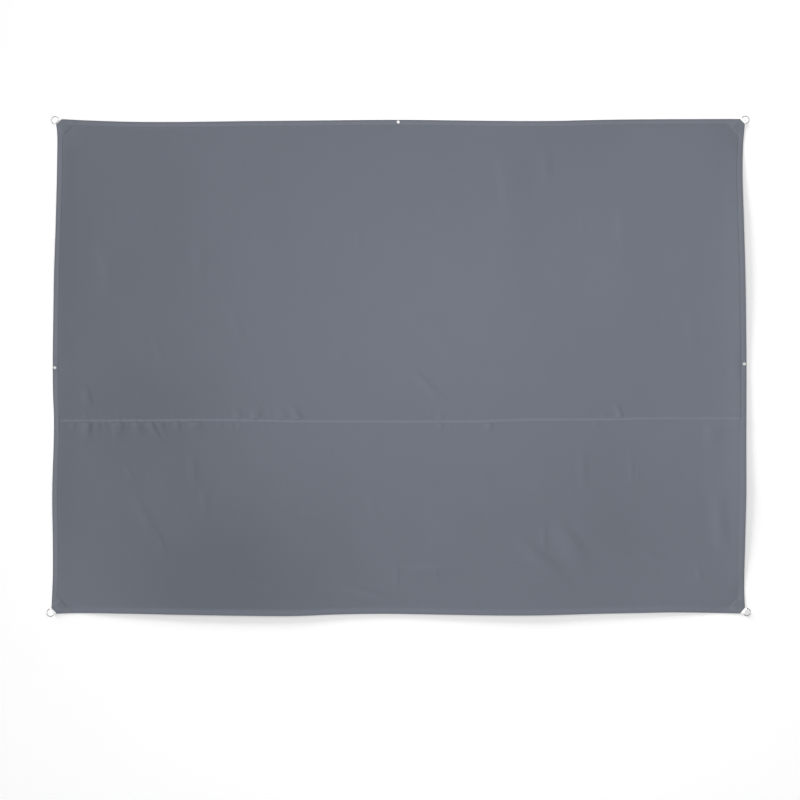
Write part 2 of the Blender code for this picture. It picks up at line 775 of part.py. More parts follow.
def patch(corner):
    """A three-cornered sheet over the hems and the webbing's tail."""
    deepest = PATCH_LEG / math.sqrt(2)
    deeps = PATCH_ROWS + (deepest - PATCH_RAMP / 2, deepest)
    over_tail = (0.0, PATCH_HUMP / 2, PATCH_HUMP, PATCH_HUMP + PATCH_FLANK)
    halves = over_tail + PATCH_COLUMNS
    acrosses = [-half for half in reversed(halves[1:])] + list(halves)
    work = bmesh.new()
    grid = [[work.verts.new((deep, across, 0)) for across in acrosses] for deep in deeps]
    for row, beyond in zip(grid, grid[1:]):
        for index in range(len(acrosses) - 1):
            work.faces.new((row[index], beyond[index], beyond[index + 1], row[index + 1]))
    edge_point = (PATCH_INSET * math.sqrt(2), 0, 0)
    more = corner.cut_x + corner.cut_y
    less = corner.cut_x - corner.cut_y
    cut_point = (more / math.sqrt(8) + PATCH_INSET, less / math.sqrt(8), 0)
    trims = [
        (edge_point, (-1, -1, 0)),
        (edge_point, (-1, 1, 0)),
        (cut_point, (-1, less / more, 0)),
    ]
    for point, outward in trims:
        bmesh.ops.bisect_plane(
            work,
            geom=work.verts[:] + work.edges[:] + work.faces[:],
            dist=1e-6,
            plane_co=point,
            plane_no=outward,
            clear_outer=True,
        )
    bmesh.ops.triangulate(work, faces=work.faces)
    work.verts.index_update()
    flat = [(vert.co.x, vert.co.y) for vert in work.verts]
    triangles = [tuple(vert.index for vert in face.verts) for face in work.faces]
    work.free()
    heights, points = {}, []
    for deep, across in flat:
        side_inside = (deep + across) / math.sqrt(2)
        end_inside = (deep - across) / math.sqrt(2)
        point = corner_point(corner, side_inside, end_inside)
        heights[point] = patch_support(deep, across) + GAP
        points.append(point)

    def layer(x, y):
        under = heights[(x, y)]
        return under, under + CLOTH

    return close_sheet("patch_" + corner.name, points, triangles, layer, PATCH_FINISH)


def corner_frame(corner):
    """Placed where the webbing crosses the cut edge: +X along its tail, +Z up."""
    on_end = Vector(settle(*corner_point(corner, corner.cut_x, 0)))
    on_side = Vector(settle(*corner_point(corner, 0, corner.cut_y)))
    sideways = (on_side - on_end).normalized()
    outward = Vector((sideways.y, -sideways.x))
    if outward.dot(Vector((corner.side, corner.end))) < 0:
        outward.negate()
    turn = math.radians(corner.turn)
    ring_way = outward * math.cos(turn) + sideways * math.sin(turn)
    middle = (on_end + on_side) / 2 + sideways * corner.slide
    heading = math.atan2(-ring_way.y, -ring_way.x)
    return Matrix.Translation((*middle, 0)) @ Matrix.Rotation(heading, 4, "Z")


def tangent_angle(centre, radius, point, side):
    """The angle on a circle at which a line from the point touches it."""
    offset = Vector(point) - Vector(centre)
    return math.atan2(offset.y, offset.x) + side * math.acos(radius / offset.length)


def webbing_profile(corner):
    """The strap from the side: its tail, doubled, and its loop round the ring's bar."""
    centre = (-corner.bar_out, BAR_HEIGHT)
    lean = WEBBING_HALF_WIDTH * math.tan(math.radians(corner.turn))
    radius = LOOP_BORE + WEBBING_LAYER
    on_hem = HEM_THICKNESS + GAP
    on_panel = CLOTH + GAP
    doubled = 2 * WEBBING_LAYER
    lower = (-TAIL_LEAD - lean, on_hem)
    upper = (PATCH_INSET - TAIL_LEAD - lean, on_hem + doubled)
    first = tangent_angle(centre, radius, upper, 1)
    last = tangent_angle(centre, radius, lower, -1) + 2 * math.pi
    steps = 9
    arc = []
    for index in range(steps + 1):
        angle = first + (last - first) * index / steps
        spot = (centre[0] + radius * math.cos(angle), centre[1] + radius * math.sin(angle))
        arc.append(spot)
    slope_end = TAIL_LEVEL + TAIL_STEP
    top = [
        (TAIL_LENGTH, on_panel + doubled),
        (slope_end, on_panel + doubled),
        (TAIL_LEVEL, on_hem + doubled),
        upper,
    ]
    under = [lower, (TAIL_LEVEL, on_hem), (slope_end, on_panel), (TAIL_LENGTH, on_panel)]
    return top + arc + under


def webbing(corner):
    profile = webbing_profile(corner)
    work = bmesh.new()
    near = [work.verts.new((x, -WEBBING_HALF_WIDTH, z)) for x, z in profile]
    far = [work.verts.new((x, WEBBING_HALF_WIDTH, z)) for x, z in profile]
    work.faces.new(near)
    work.faces.new(reversed(far))
    count = len(profile)
    for index in range(count):
        after = (index + 1) % count
        work.faces.new((near[index], far[index], far[after], near[after]))
    strap = mesh_object("webbing_" + corner.name, work, WEBBING_FINISH)
    frame = corner_frame(corner)
    strap.matrix_world = frame
    lies_across = Matrix.Translation((-corner.bar_out, 0, BAR_HEIGHT)) @ Matrix.Rotation(
        math.pi / 2, 4, "X"
    )
    reach = 1.5 * WEBBING_HALF_WIDTH
    bore = cutter("bore_" + corner.name, LOOP_BORE, -reach, reach, (0, 0, 0))
    bore.matrix_world = frame @ lies_across
    cut(strap, bore)
    return strap


def ring_path():
    """The D's middle line: a straight bar, rounded corners, two legs and a half-circle bow."""
    straight = RING_HALF_WIDTH - RING_CORNER
    bow_start = RING_DEPTH - RING_HALF_WIDTH
    path = [(0.0, 0.0)]
    for step in range(4):
        angle = math.pi / 2 * step / 3
        path.append(
            (
                -RING_CORNER * (1 - math.cos(angle)),
                straight + RING_CORNER * math.sin(angle),
            )
        )
    bow_steps = 7
    for step in range(bow_steps + 1):
        angle = math.pi / 2 * step / bow_steps
        path.append(
            (
                -bow_start - RING_HALF_WIDTH * math.sin(angle),
                RING_HALF_WIDTH * math.cos(angle),
            )
        )
    mirrored = [(x, -y) for x, y in reversed(path[1:-1])]
    return path + mirrored


def ring(corner):
    """The ring hangs in its loop by the bar, with its bow down on the surface."""
    wire = bpy.data.curves.new("ring_" + corner.name, "CURVE")
    wire.dimensions = "3D"
    path = ring_path()
    line = wire.splines.new("POLY")
    line.points.add(len(path) - 1)
    for point, (x, y) in zip(line.points, path):
        point.co = (x, y, 0, 1)
    line.use_cyclic_u = True
    wire.bevel_depth = WIRE_RADIUS
    wire.bevel_resolution = 2
    node = add_object("ring_" + corner.name, wire, STEEL_FINISH)
    droop = math.asin((BAR_HEIGHT - BOW_HEIGHT) / RING_DEPTH)
    in_loop = Matrix.Translation((-corner.bar_out, 0, BAR_HEIGHT))
    node.matrix_world = corner_frame(corner) @ in_loop @ Matrix.Rotation(-droop, 4, "Y")
    return node


def centre_on_origin(nodes):
    """Moves everything so that the middle of the whole lies over the origin."""
    bpy.context.view_layer.update()
    graph = bpy.context.evaluated_depsgraph_get()
    corners = []
    for node in nodes:
        seen = node.evaluated_get(graph)
        corners += [seen.matrix_world @ Vector(corner) for corner in seen.bound_box]
    low = [min(corner[axis] for corner in corners) for axis in (0, 1)]
    high = [max(corner[axis] for corner in corners) for axis in (0, 1)]
    shift = Vector((-(low[0] + high[0]) / 2, -(low[1] + high[1]) / 2, 0))
    for thing in bpy.data.objects:
        thing.location = thing.location + shift


def main():
    clear_scene()
    nodes = [upper_panel(), lower_panel()]
    hems = {
        "top": top_hem(),
        "left": side_hem("left_hem", -1),
        "right": side_hem("right_hem", 1),
    }
    nodes += hems.values()
    for eyelet in EYELETS:
        pierce(hems[eyelet.name], eyelet)
        nodes.append(eyelet_node(eyelet))
    for corner in CORNERS:
        nodes += [patch(corner), webbing(corner), ring(corner)]
    centre_on_origin(nodes)


main()
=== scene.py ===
"""Dresses the shade sail's solids: fine cloth, sewing, webbing, rings, eyelets and a plain studio.

Each cloth piece is drawn on a true rectangle, as it is cut. settle() bows its edges and seam as
they lie, and relief() lifts it where it stands off the floor. The outline, the lifted edges, the
seam's line, the corners and the eyelets have the solids' values. The folds and puckers have their
own: they lie in part elsewhere than the solids', and up to 6 mm over or under them. Lengths are
metres.
"""

import json
import math
from collections import namedtuple

import bmesh
import bpy
import numpy as np
from bpy.props import FloatProperty, FloatVectorProperty, IntProperty, PointerProperty
from bpy.types import Operator, Panel, PropertyGroup
from mathutils import Matrix, Vector

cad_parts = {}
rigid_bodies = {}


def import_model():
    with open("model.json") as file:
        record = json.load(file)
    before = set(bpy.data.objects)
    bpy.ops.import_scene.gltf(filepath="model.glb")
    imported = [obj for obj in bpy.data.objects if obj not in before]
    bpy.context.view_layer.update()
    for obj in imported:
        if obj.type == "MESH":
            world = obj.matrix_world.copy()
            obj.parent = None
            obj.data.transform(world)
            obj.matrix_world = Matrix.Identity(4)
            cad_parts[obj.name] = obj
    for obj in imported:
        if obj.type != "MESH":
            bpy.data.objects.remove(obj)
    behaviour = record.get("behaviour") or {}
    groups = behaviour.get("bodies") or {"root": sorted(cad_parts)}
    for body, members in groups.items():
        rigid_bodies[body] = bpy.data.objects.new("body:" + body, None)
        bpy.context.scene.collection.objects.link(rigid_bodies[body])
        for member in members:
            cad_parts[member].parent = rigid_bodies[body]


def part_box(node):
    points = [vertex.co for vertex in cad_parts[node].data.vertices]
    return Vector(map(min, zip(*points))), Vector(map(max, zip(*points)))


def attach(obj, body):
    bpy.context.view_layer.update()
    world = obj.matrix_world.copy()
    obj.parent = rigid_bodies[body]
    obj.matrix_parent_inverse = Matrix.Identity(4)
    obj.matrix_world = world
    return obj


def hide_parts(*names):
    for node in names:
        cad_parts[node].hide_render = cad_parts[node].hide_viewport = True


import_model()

bl_info = {
    "name": "Shade sail",
    "version": (1, 0, 0),
    "blender": (4, 5, 0),
    "location": "View3D > Sidebar > Shade sail",
    "description": "Dresses a rectangular shade sail with cloth, sewing, webbing and metal",
    "category": "Object",
}


def make_table(kind, *rows):
    """A list of rows of one kind, whose fields name the columns."""
    return [kind(*row) for row in rows]



# Sizes of the cut cloth and of its hems and seam
LENGTH = 3.5
WIDTH = 2.5
HALF_LENGTH = LENGTH / 2
HALF_WIDTH = WIDTH / 2
GAP = 0.0001
CLOTH = 0.0006
HEM_WIDTH = 0.0270
HEM_THICKNESS = 0.0014
HEM_LIP = 0.0057
LAP_LOW = -0.0070
LAP_HIGH = 0.0068
LAP_THICKNESS = 0.0007
LAP_RAMP = 0.0090
SEAM_Y = -0.2730
PANEL_SIDE = HALF_LENGTH - HEM_WIDTH + HEM_LIP - GAP
HEM_PUFF = 0.0002
HEM_CREST = 0.0150
HEM_FLAT = 0.0150
HEM_EDGE = 0.0007
HEM_STITCH = 0.0240
STITCH_GROOVE = 0.0002
HEM_RIPPLE = 0.0006
HEM_RIPPLE_PITCH = 0.067
HEM_RIPPLE_REACH = 0.055
HEM_RIDGE = 0.0014
HEM_RIDGE_REACH = 0.090
HEM_CUT_ROUND = 0.0005
GROOVE_REACH = 0.0022
SEAM_STITCHES = (LAP_LOW + 0.0022, LAP_HIGH - 0.0022)
SEAM_STITCH_END = 0.004
SEAM_GROOVE = 0.7 * STITCH_GROOVE

# Corner patches, webbing and rings
PATCH_LEG = 0.1150
PATCH_INSET = 0.0015
PATCH_HOLD = 0.0040
PATCH_FALL = 0.0120
PATCH_DEEPEST = PATCH_LEG / math.sqrt(2)
PATCH_FOLD = 0.0070
PATCH_STITCH = 0.0055
PATCH_LONG_STITCH = 0.004
PATCH_GROOVE_REACH = 0.002
PATCH_GRID_START = 0.010
PATCH_GRID_STEP = 0.0016
PATCH_GRID_HALF = 0.084
PATCH_GRID_COLUMNS = 106
TAIL_BOX_HALF = 0.0130
TAIL_BOX_LENGTH = 0.0430
WIRE_RADIUS = 0.0020
RING_HALF_WIDTH = 0.0185
RING_DEPTH = 0.0280
RING_CORNER = 0.0035
BAR_HEIGHT = 0.0037
BOW_HEIGHT = 0.00205
WEBBING_HALF_WIDTH = 0.0148
WEBBING_LAYER = 0.0009
LOOP_BORE = WIRE_RADIUS + 0.0003
WEBBING_AIR = 0.0001
WEBBING_EDGE = 0.0006
LOOP_STEPS = 28
TAIL_STEPS = 12
TAIL_LENGTH = 0.0500
TAIL_LEVEL = 0.0405
TAIL_STEP = 0.0065
TAIL_LEAD = 0.0005
TAIL_EASE = 0.0015
TAIL_FLANK = 0.0180

# Eyelets
EYELET_INSET = 0.0110
EYELET_BORE = 0.0045
BARREL_WALL = 0.0006
FLANGE_RADIUS = 0.0080
WASHER = 0.0006
CROWN = 0.0010
LEVEL_HALF = 0.0250
LEVEL_FADE = 0.0600
EYELET_PRESS = 0.0260
EYELET_EDGE = 0.0002
EYELET_CROWN_STEPS = 10
PIERCE_DEPTH = 0.020

# How the edges lie: bow is how far the edge stands out from the rectangle, lift how far its
# underside stands off the floor, both at a place along the edge.
EdgeRow = namedtuple("EdgeRow", "along bow lift")
LEFT_EDGE = make_table(
    EdgeRow,
    (-1.25, 0.0080, 0.0),
    (-1.06, 0.0000, 0.0),
    (-0.88, -0.0005, 0.0025),
    (-0.64, 0.0020, 0.0045),
    (-0.39, -0.0045, 0.0010),
    (-0.27, -0.0060, 0.0),
    (-0.13, -0.0010, 0.0),
    (0.00, 0.0005, 0.0),
    (0.20, -0.0020, 0.0010),
    (0.46, -0.0070, 0.0055),
    (0.70, -0.0150, 0.0060),
    (0.94, -0.0205, 0.0020),
    (1.13, -0.0230, 0.0),
    (1.19, -0.0210, 0.0),
    (1.25, -0.0125, 0.0),
)
RIGHT_EDGE = make_table(
    EdgeRow,
    (-1.25, 0.0070, 0.0),
    (-1.12, 0.0020, 0.0),
    (-0.88, 0.0057, 0.0080),
    (-0.64, 0.0106, 0.0115),
    (-0.39, 0.0110, 0.0085),
    (0.00, 0.0125, 0.0060),
    (0.15, 0.0110, 0.0075),
    (0.45, 0.0065, 0.0110),
    (0.76, -0.0020, 0.0095),
    (0.97, -0.0070, 0.0040),
    (1.12, -0.0035, 0.0),
    (1.25, 0.0075, 0.0),
)
TOP_EDGE = make_table(
    EdgeRow,
    (-1.75, 0.0035, 0.0),
    (-1.61, -0.0040, 0.0),
    (-1.37, -0.0120, 0.0020),
    (-1.13, -0.0136, 0.0050),
    (-0.76, -0.0092, 0.0040),
    (-0.40, -0.0054, 0.0010),
    (0.00, -0.0020, 0.0),
    (0.33, -0.0058, 0.0015),
    (0.58, -0.0086, 0.0045),
    (0.80, -0.0082, 0.0050),
    (1.00, -0.0030, 0.0020),
    (1.18, 0.0000, 0.0),
    (1.61, 0.0020, 0.0),
    (1.75, 0.0022, 0.0),
)
BOTTOM_EDGE = make_table(
    EdgeRow,
    (-1.75, 0.0045, 0.0),
    (-1.62, 0.0004, 0.0),
    (-1.40, 0.0025, 0.0050),
    (-1.10, 0.0083, 0.0095),
    (-0.76, 0.0132, 0.0115),
    (-0.53, 0.0143, 0.0105),
    (-0.30, 0.0064, 0.0070),
    (-0.06, 0.0034, 0.0055),
    (0.22, 0.0075, 0.0075),
    (0.52, 0.0114, 0.0105),
    (0.73, 0.0105, 0.0110),
    (1.00, 0.0035, 0.0080),
    (1.27, -0.0016, 0.0055),
    (1.40, -0.0034, 0.0040),
    (1.62, 0.0000, 0.0),
    (1.75, 0.0035, 0.0),
)
BOW_REACH = 0.40
LIFT_REACH = 0.24
HEM_ZONE = 0.03

# The seam's line, as how far it stands above SEAM_Y, and how strongly its sewing gathers the
# cloth below and above it.
SeamRow = namedtuple("SeamRow", "along rise below above")
SEAM_LINE = make_table(
    SeamRow,
    (-1.75, -0.003, 0.0006, 0.0004),
    (-1.30, -0.002, 0.0008, 0.0004),
    (-0.90, 0.000, 0.0006, 0.0005),
    (-0.50, -0.006, 0.0004, 0.0005),
    (0.40, -0.007, 0.0003, 0.0002),
    (0.62, 0.001, 0.0002, 0.0002),
    (1.00, 0.003, 0.0003, 0.0004),
    (1.32, 0.008, 0.0004, 0.0002),
    (1.75, 0.009, 0.0003, 0.0002),
)
SEAM_REACH = 0.45
GATHER_PITCH = 0.041
GATHER_REACH = 0.085
GATHER_DRIFT = 0.067
GATHER_LEAN = 0.25

# Soft ridges that lie free in the panels. The flank on the left of their heading may be steeper,
# and the crest may bend.
Fold = namedtuple("Fold", "x y heading half_length half_width height steep bend")
FOLDS = make_table(
    Fold,
    (-1.480, 0.52, 104, 0.19, 0.210, 0.0042, 0.36, 0.01),
    (-1.575, -0.155, -80, 0.06, 0.045, 0.0028, 0.55, 0.0),
    (-1.040, -0.52, -84, 0.10, 0.040, 0.0017, 0.70, 0.0),
    (-0.985, -0.68, 97, 0.10, 0.046, 0.0015, 0.70, 0.0),
    (-1.285, -0.76, -63, 0.20, 0.050, 0.0020, 0.8, -0.02),
    (0.150, -0.09, -42, 0.17, 0.050, 0.0028, 0.32, 0.006),
    (0.740, -0.865, -88, 0.10, 0.034, 0.0019, 0.40, 0.0),
    (0.880, -0.90, -50, 0.16, 0.100, 0.0050, 0.55, 0.0),
    (0.720, -0.975, -39, 0.22, 0.070, 0.0038, 0.60, 0.01),
    (0.935, -0.53, -88, 0.13, 0.044, 0.0017, 0.6, 0.01),
    (1.180, -0.52, -87, 0.10, 0.028, 0.0013, 0.6, 0.0),
    (1.575, -0.35, 90, 0.09, 0.085, 0.0028, 0.6, 0.0),
    (1.620, -0.79, -83, 0.23, 0.060, 0.0030, 0.9, 0.02),
    (-0.150, -1.155, -15, 0.18, 0.045, 0.0036, 0.7, 0.01),
    (0.545, 0.93, 99, 0.22, 0.160, 0.0026, 0.36, 0.01),
    (0.745, 1.01, 97, 0.12, 0.045, 0.0018, 0.9, 0.0),
    (1.130, 0.69, 94, 0.13, 0.110, 0.0021, 0.42, 0.0),
)

# Smaller creases, which the solids don't have.
CREASES = make_table(
    Fold,
    (1.212, -0.54, -86, 0.08, 0.016, 0.0010, 0.6, 0.0),
    (0.600, -1.00, -14, 0.08, 0.022, 0.0014, 0.6, 0.0),
    (0.160, -1.015, 2, 0.20, 0.045, 0.0028, 0.6, 0.006),
    (0.735, -1.075, -10, 0.06, 0.018, 0.0012, 0.6, 0.0),
    (-0.010, -1.06, -85, 0.08, 0.022, 0.0016, 0.6, 0.0),
    (0.190, -1.055, -80, 0.06, 0.022, 0.0013, 0.7, 0.0),
    (0.930, 0.72, 95, 0.06, 0.020, 0.0012, 0.6, 0.0),
    (-1.220, 0.09, -68, 0.13, 0.034, 0.0012, 0.9, 0.01),
    (-0.820, 0.20, -70, 0.18, 0.040, 0.0012, 0.9, -0.01),
    (-1.010, 0.55, 94, 0.20, 0.045, 0.0010, 0.9, 0.01),
    (-0.205, 0.64, 92, 0.10, 0.030, 0.0008, 0.9, 0.0),
    (-0.295, 0.06, 80, 0.08, 0.028, 0.0008, 0.9, 0.0),
    (0.660, 0.22, 60, 0.08, 0.035, 0.0010, 0.8, 0.0),
    (-1.360, -0.55, -60, 0.07, 0.024, 0.0012, 0.7, 0.0),
    (-1.200, -0.90, -66, 0.10, 0.030, 0.0014, 0.7, 0.0),
    (-0.560, -0.62, -55, 0.12, 0.035, 0.0010, 0.8, 0.01),
    (-0.130, -0.72, -75, 0.10, 0.035, 0.0009, 0.8, 0.0),
    (0.450, -0.62, -78, 0.12, 0.036, 0.0008, 0.8, 0.01),
    (-0.700, -1.10, -20, 0.15, 0.040, 0.0014, 0.7, 0.02),
    (1.300, -0.98, -32, 0.16, 0.045, 0.0014, 0.7, 0.02),
    (1.520, -1.05, -75, 0.08, 0.030, 0.0014, 0.7, 0.0),
    (1.480, 0.20, -82, 0.14, 0.040, 0.0010, 0.8, 0.0),
)

# Broad swells, where the cloth lies a little off the floor. The solids don't have them.
SWELLS = make_table(
    Fold,
    (-1.25, 0.70, 82, 0.55, 0.22, 0.0022, 1.0, 0.05),
    (-0.70, 0.45, 96, 0.70, 0.24, 0.0018, 1.0, -0.04),
    (0.55, 0.55, 85, 0.60, 0.20, 0.0020, 1.0, 0.03),
    (1.15, 0.35, 98, 0.65, 0.22, 0.0020, 1.0, -0.05),
    (-1.05, -0.80, -60, 0.50, 0.24, 0.0030, 1.0, 0.05),
    (-0.45, -0.75, -75, 0.42, 0.22, 0.0024, 1.0, 0.03),
    (0.95, -0.78, -50, 0.45, 0.22, 0.0028, 1.0, -0.05),
    (0.30, -0.85, 80, 0.30, 0.20, 0.0016, 1.0, 0.02),
)

# Short puckers that the sewing draws up on one side of the seam. half_width is the left flank's,
# steep the right one's share of it, and lean how far the pucker slants.
Pucker = namedtuple("Pucker", "x side half_width steep reach height lean")
PUCKERS = make_table(
    Pucker,
    (-1.655, -1, 0.026, 0.8, 0.060, 0.0022, 0.00),
    (-1.578, -1, 0.050, 0.6, 0.125, 0.0046, 0.05),
    (-1.527, -1, 0.026, 0.7, 0.080, 0.0013, 0.00),
    (-1.432, -1, 0.027, 1.7, 0.135, 0.0028, 0.00),
    (-1.402, -1, 0.040, 0.5, 0.090, 0.0018, 0.00),
    (-1.325, -1, 0.044, 0.9, 0.100, 0.0036, -0.10),
    (-1.266, -1, 0.040, 0.6, 0.135, 0.0038, -0.55),
    (-1.225, -1, 0.028, 1.2, 0.125, 0.0022, -0.55),
    (-1.120, -1, 0.034, 0.6, 0.075, 0.0026, 0.00),
    (-1.028, -1, 0.052, 0.9, 0.085, 0.0032, 0.00),
    (-0.905, -1, 0.022, 0.8, 0.050, 0.0009, 0.00),
    (-0.845, -1, 0.022, 0.9, 0.055, 0.0013, 0.00),
    (-0.802, -1, 0.024, 0.9, 0.060, 0.0016, 0.00),
    (-0.240, -1, 0.026, 0.7, 0.065, 0.0010, 0.00),
    (0.211, -1, 0.028, 0.7, 0.060, 0.0020, 0.00),
    (0.460, -1, 0.032, 0.6, 0.075, 0.0028, 0.00),
    (0.900, -1, 0.030, 0.8, 0.060, 0.0012, 0.00),
    (0.998, -1, 0.024, 0.7, 0.060, 0.0014, 0.00),
    (1.100, -1, 0.020, 0.7, 0.050, 0.0009, 0.00),
    (-1.590, 1, 0.024, 0.7, 0.050, 0.0013, 0.00),
    (-1.488, 1, 0.024, 0.7, 0.045, 0.0010, 0.00),
    (-1.140, 1, 0.024, 0.7, 0.045, 0.0008, 0.00),
    (-0.806, 1, 0.036, 0.6, 0.080, 0.0028, -0.20),
    (-0.722, 1, 0.044, 0.6, 0.092, 0.0036, 0.10),
    (-0.592, 1, 0.040, 0.7, 0.085, 0.0021, 0.00),
    (-0.499, 1, 0.038, 0.6, 0.105, 0.0040, -0.45),
    (0.211, 1, 0.028, 0.7, 0.070, 0.0018, 0.00),
    (1.041, 1, 0.021, 0.7, 0.048, 0.0014, 0.00),
    (1.130, 1, 0.030, 0.6, 0.105, 0.0033, -0.35),
)
PUCKER_START = 0.010

# How far off, and which ways, the cloth round a point is looked at for crests and hollows.
CREST_REACH = 0.010
CREST_WAYS = [(1, 0), (-1, 0), (0, 1), (0, -1)]

# Corners: side and end are the signs of X and Y there. The cut takes cut_x off the edge along X
# and cut_y off the edge along Y. The webbing is sewn on slide from the middle of the cut and
# turned by so many degrees, both towards the side edge, and the ring's bar stands bar_out.
Corner = namedtuple("Corner", "name side end cut_x cut_y slide turn bar_out")
CORNERS = make_table(
    Corner,
    ("top_left", -1, 1, 0.0340, 0.0270, 0.0080, 10.0, 0.0085),
    ("top_right", 1, 1, 0.0260, 0.0230, 0.0035, 8.0, 0.0062),
    ("bottom_left", -1, -1, 0.0265, 0.0285, 0.0035, 5.0, 0.0096),
    ("bottom_right", 1, -1, 0.0275, 0.0285, 0.0065, 11.0, 0.0112),
)

Eyelet = namedtuple("Eyelet", "name x y")
EYELETS = make_table(
    Eyelet,
    ("top", 0.0, HALF_WIDTH - EYELET_INSET),
    ("left", -HALF_LENGTH + EYELET_INSET, -0.0066),
    ("right", HALF_LENGTH - EYELET_INSET, 0.0086),
)

# Broad places painted into the cloth's colour: a little deeper, as painted shade, where amount is below 0,
# and a little paler, as painted light, where it is above 0.
PaintedLighting = namedtuple("PaintedLighting", "x y reach_x reach_y amount")
PAINTED_LIGHTING = make_table(
    PaintedLighting,
    (-0.90, -1.10, 1.00, 0.85, -0.14),
    (-1.35, 0.30, 0.75, 1.40, -0.045),
    (0.25, 0.30, 1.30, 1.00, 0.04),
    (1.40, 0.70, 0.90, 0.80, 0.05),
    (1.00, -0.75, 0.60, 0.50, -0.02),
    (1.75, -0.20, 0.80, 1.20, 0.08),
    (-1.75, -1.25, 0.80, 0.70, 0.08),
    (1.75, 0.10, 0.035, 1.50, -0.13),
    (-1.20, -0.30, 0.60, 0.50, -0.07),
    (0.0, 1.25, 3.50, 0.05, -0.12),
    (1.40, 1.12, 0.45, 0.40, 0.045),
    (1.55, -1.15, 0.60, 0.42, 0.06),
    (-1.70, 1.20, 0.14, 0.14, 0.07),
)

# Mesh spacing
COLUMN = 0.0108
FINE_COLUMN = 0.006
FINE_UP_TO = -0.72
HEM_COLUMN = 0.008
HEM_TIPS = 8
HEM_INNER_X = HALF_LENGTH - 2 * HEM_WIDTH
HEM_ROWS = (0.0, 0.0001, 0.0003, 0.0007, 0.0012, 0.003, 0.005, 0.0075, 0.010, 0.0125, 0.015, 0.0175)
PANEL_LIP_ROWS = (0.0195, 0.0213)
LIP_ROWS = (0.0225, 0.0232, 0.0240, 0.0248, 0.0255, 0.0262, 0.0267, HEM_WIDTH)


# The user's settings


def share_property(name, words, value):
    return FloatProperty(name=name, description=words, default=value, min=0.0, max=2.0)


def colour_property(name, words, value):
    return FloatVectorProperty(
        name=name, description=words, default=value, size=3, subtype="COLOR", min=0.0, max=1.0
    )


def length_property(name, words, value):
    return FloatProperty(
        name=name, description=words, default=value, min=0.0, subtype="DISTANCE", unit="LENGTH"
    )


def angle_property(name, words, degrees):
    return FloatProperty(
        name=name, description=words, default=math.radians(degrees), subtype="ANGLE", unit="ROTATION"
    )


class ShadeSailCloth(PropertyGroup):
    colour: colour_property("Cloth", "Colour of the panels", (0.152, 0.167, 0.201))
    # The hems and patches are the same cloth as the panels, painted a little paler: painted light.
    hem_colour: colour_property("Hems", "Colour of the folded hems", (0.161, 0.173, 0.205))
    patch_colour: colour_property("Patches", "Colour of the patches", (0.160, 0.174, 0.206))
    weave: length_property("Weave", "Distance between threads", 0.0011)
    roughness: share_property("Roughness", "How matt the cloth is", 0.85)
    folds: share_property("Folds", "Height of the free folds and puckers", 1.0)
    creases: share_property("Creases", "Height of the fine creases and swells", 1.0)
    # Strength of the broad painted light and shade.
    painted_lighting_strength: share_property("Tones", "Strength of the cloth's uneven tone", 1.0)


class ShadeSailSewing(PropertyGroup):
    colour: colour_property("Thread", "Colour of the thread", (0.165, 0.181, 0.212))
    length: length_property("Stitch", "Length of a stitch", 0.0034)
    pitch: length_property("Pitch", "Distance from stitch to stitch", 0.0043)
    thread: length_property("Thread width", "Width of the thread", 0.0008)


class ShadeSailFittings(PropertyGroup):
    webbing_colour: colour_property("Webbing", "Colour of the webbing", (0.94, 0.94, 0.93))
    steel_colour: colour_property("Rings", "Colour of the ring wire", (0.42, 0.43, 0.44))
    eyelet_colour: colour_property("Eyelets", "Colour of the eyelets", (0.95, 0.95, 0.94))
    round_steps: IntProperty(
        name="Steps", description="Steps round a ring or an eyelet", default=48, min=12, max=96
    )


class ShadeSailStudio(PropertyGroup):
    floor: share_property("Floor", "How pale the floor is", 0.86)
    glow: share_property("Glow", "Light that the floor gives out", 0.23)
    dome: share_property("Dome", "Light from above and all round", 0.44)
    horizon: share_property("Horizon", "Light from low all round", 0.95)
    side_light: share_property("Side light", "Light on the sail from its left", 0.27)
    side_height: angle_property("Side height", "Angle of the side light above the floor", 20)
    low_light: share_property("Low light", "Light on the floor that the sail's edges shade", 0.30)
    low_height: angle_property("Low height", "Angle of the low light above the floor", 8)
    top_light: FloatProperty(
        name="Top light", description="Power of the light overhead", default=35.0, min=0.0, unit="POWER"
    )
    camera_height: length_property("Camera height", "Height of the camera", 12.0)
    view_width: length_property("View width", "Width of floor in the picture", 4.052)


# How the cloth lies, for whole arrays of points


def hump(t):
    """1 at the middle, falling smoothly to 0 at 1 and past it."""
    return np.cos(np.pi / 2 * np.clip(np.abs(t), 0.0, 1.0)) ** 2


def smooth_step(t):
    t = np.clip(t, 0.0, 1.0)
    return t * t * (3 - 2 * t)


def smooth_value(rows, along, column):
    """Reads a column of a table at places along it, on a smooth curve through its rows."""
    places = np.array([row.along for row in rows])
    values = np.array([getattr(row, column) for row in rows])
    place = np.clip(along, places[0], places[-1])
    start = np.searchsorted(places[1:-1], place)
    stop = start + 1
    before = np.maximum(start - 1, 0)
    after = np.minimum(stop + 1, len(rows) - 1)
    span = places[stop] - places[start]
    start_slope = (values[stop] - values[before]) / (places[stop] - places[before])
    end_slope = (values[after] - values[start]) / (places[after] - places[start])
    t = (place - places[start]) / span
    return (
        values[start] * (2 * t**3 - 3 * t**2 + 1)
        + start_slope * span * (t**3 - 2 * t**2 + t)
        + values[stop] * (3 * t**2 - 2 * t**3)
        + end_slope * span * (t**3 - t**2)
    )


def edge_distances(x, y):
    """The four edges' tables, each with the place along it and the distance inside it."""
    return (
        (LEFT_EDGE, y, x + HALF_LENGTH),
        (RIGHT_EDGE, y, HALF_LENGTH - x),
        (TOP_EDGE, x, HALF_WIDTH - y),
        (BOTTOM_EDGE, x, y + HALF_WIDTH),
    )


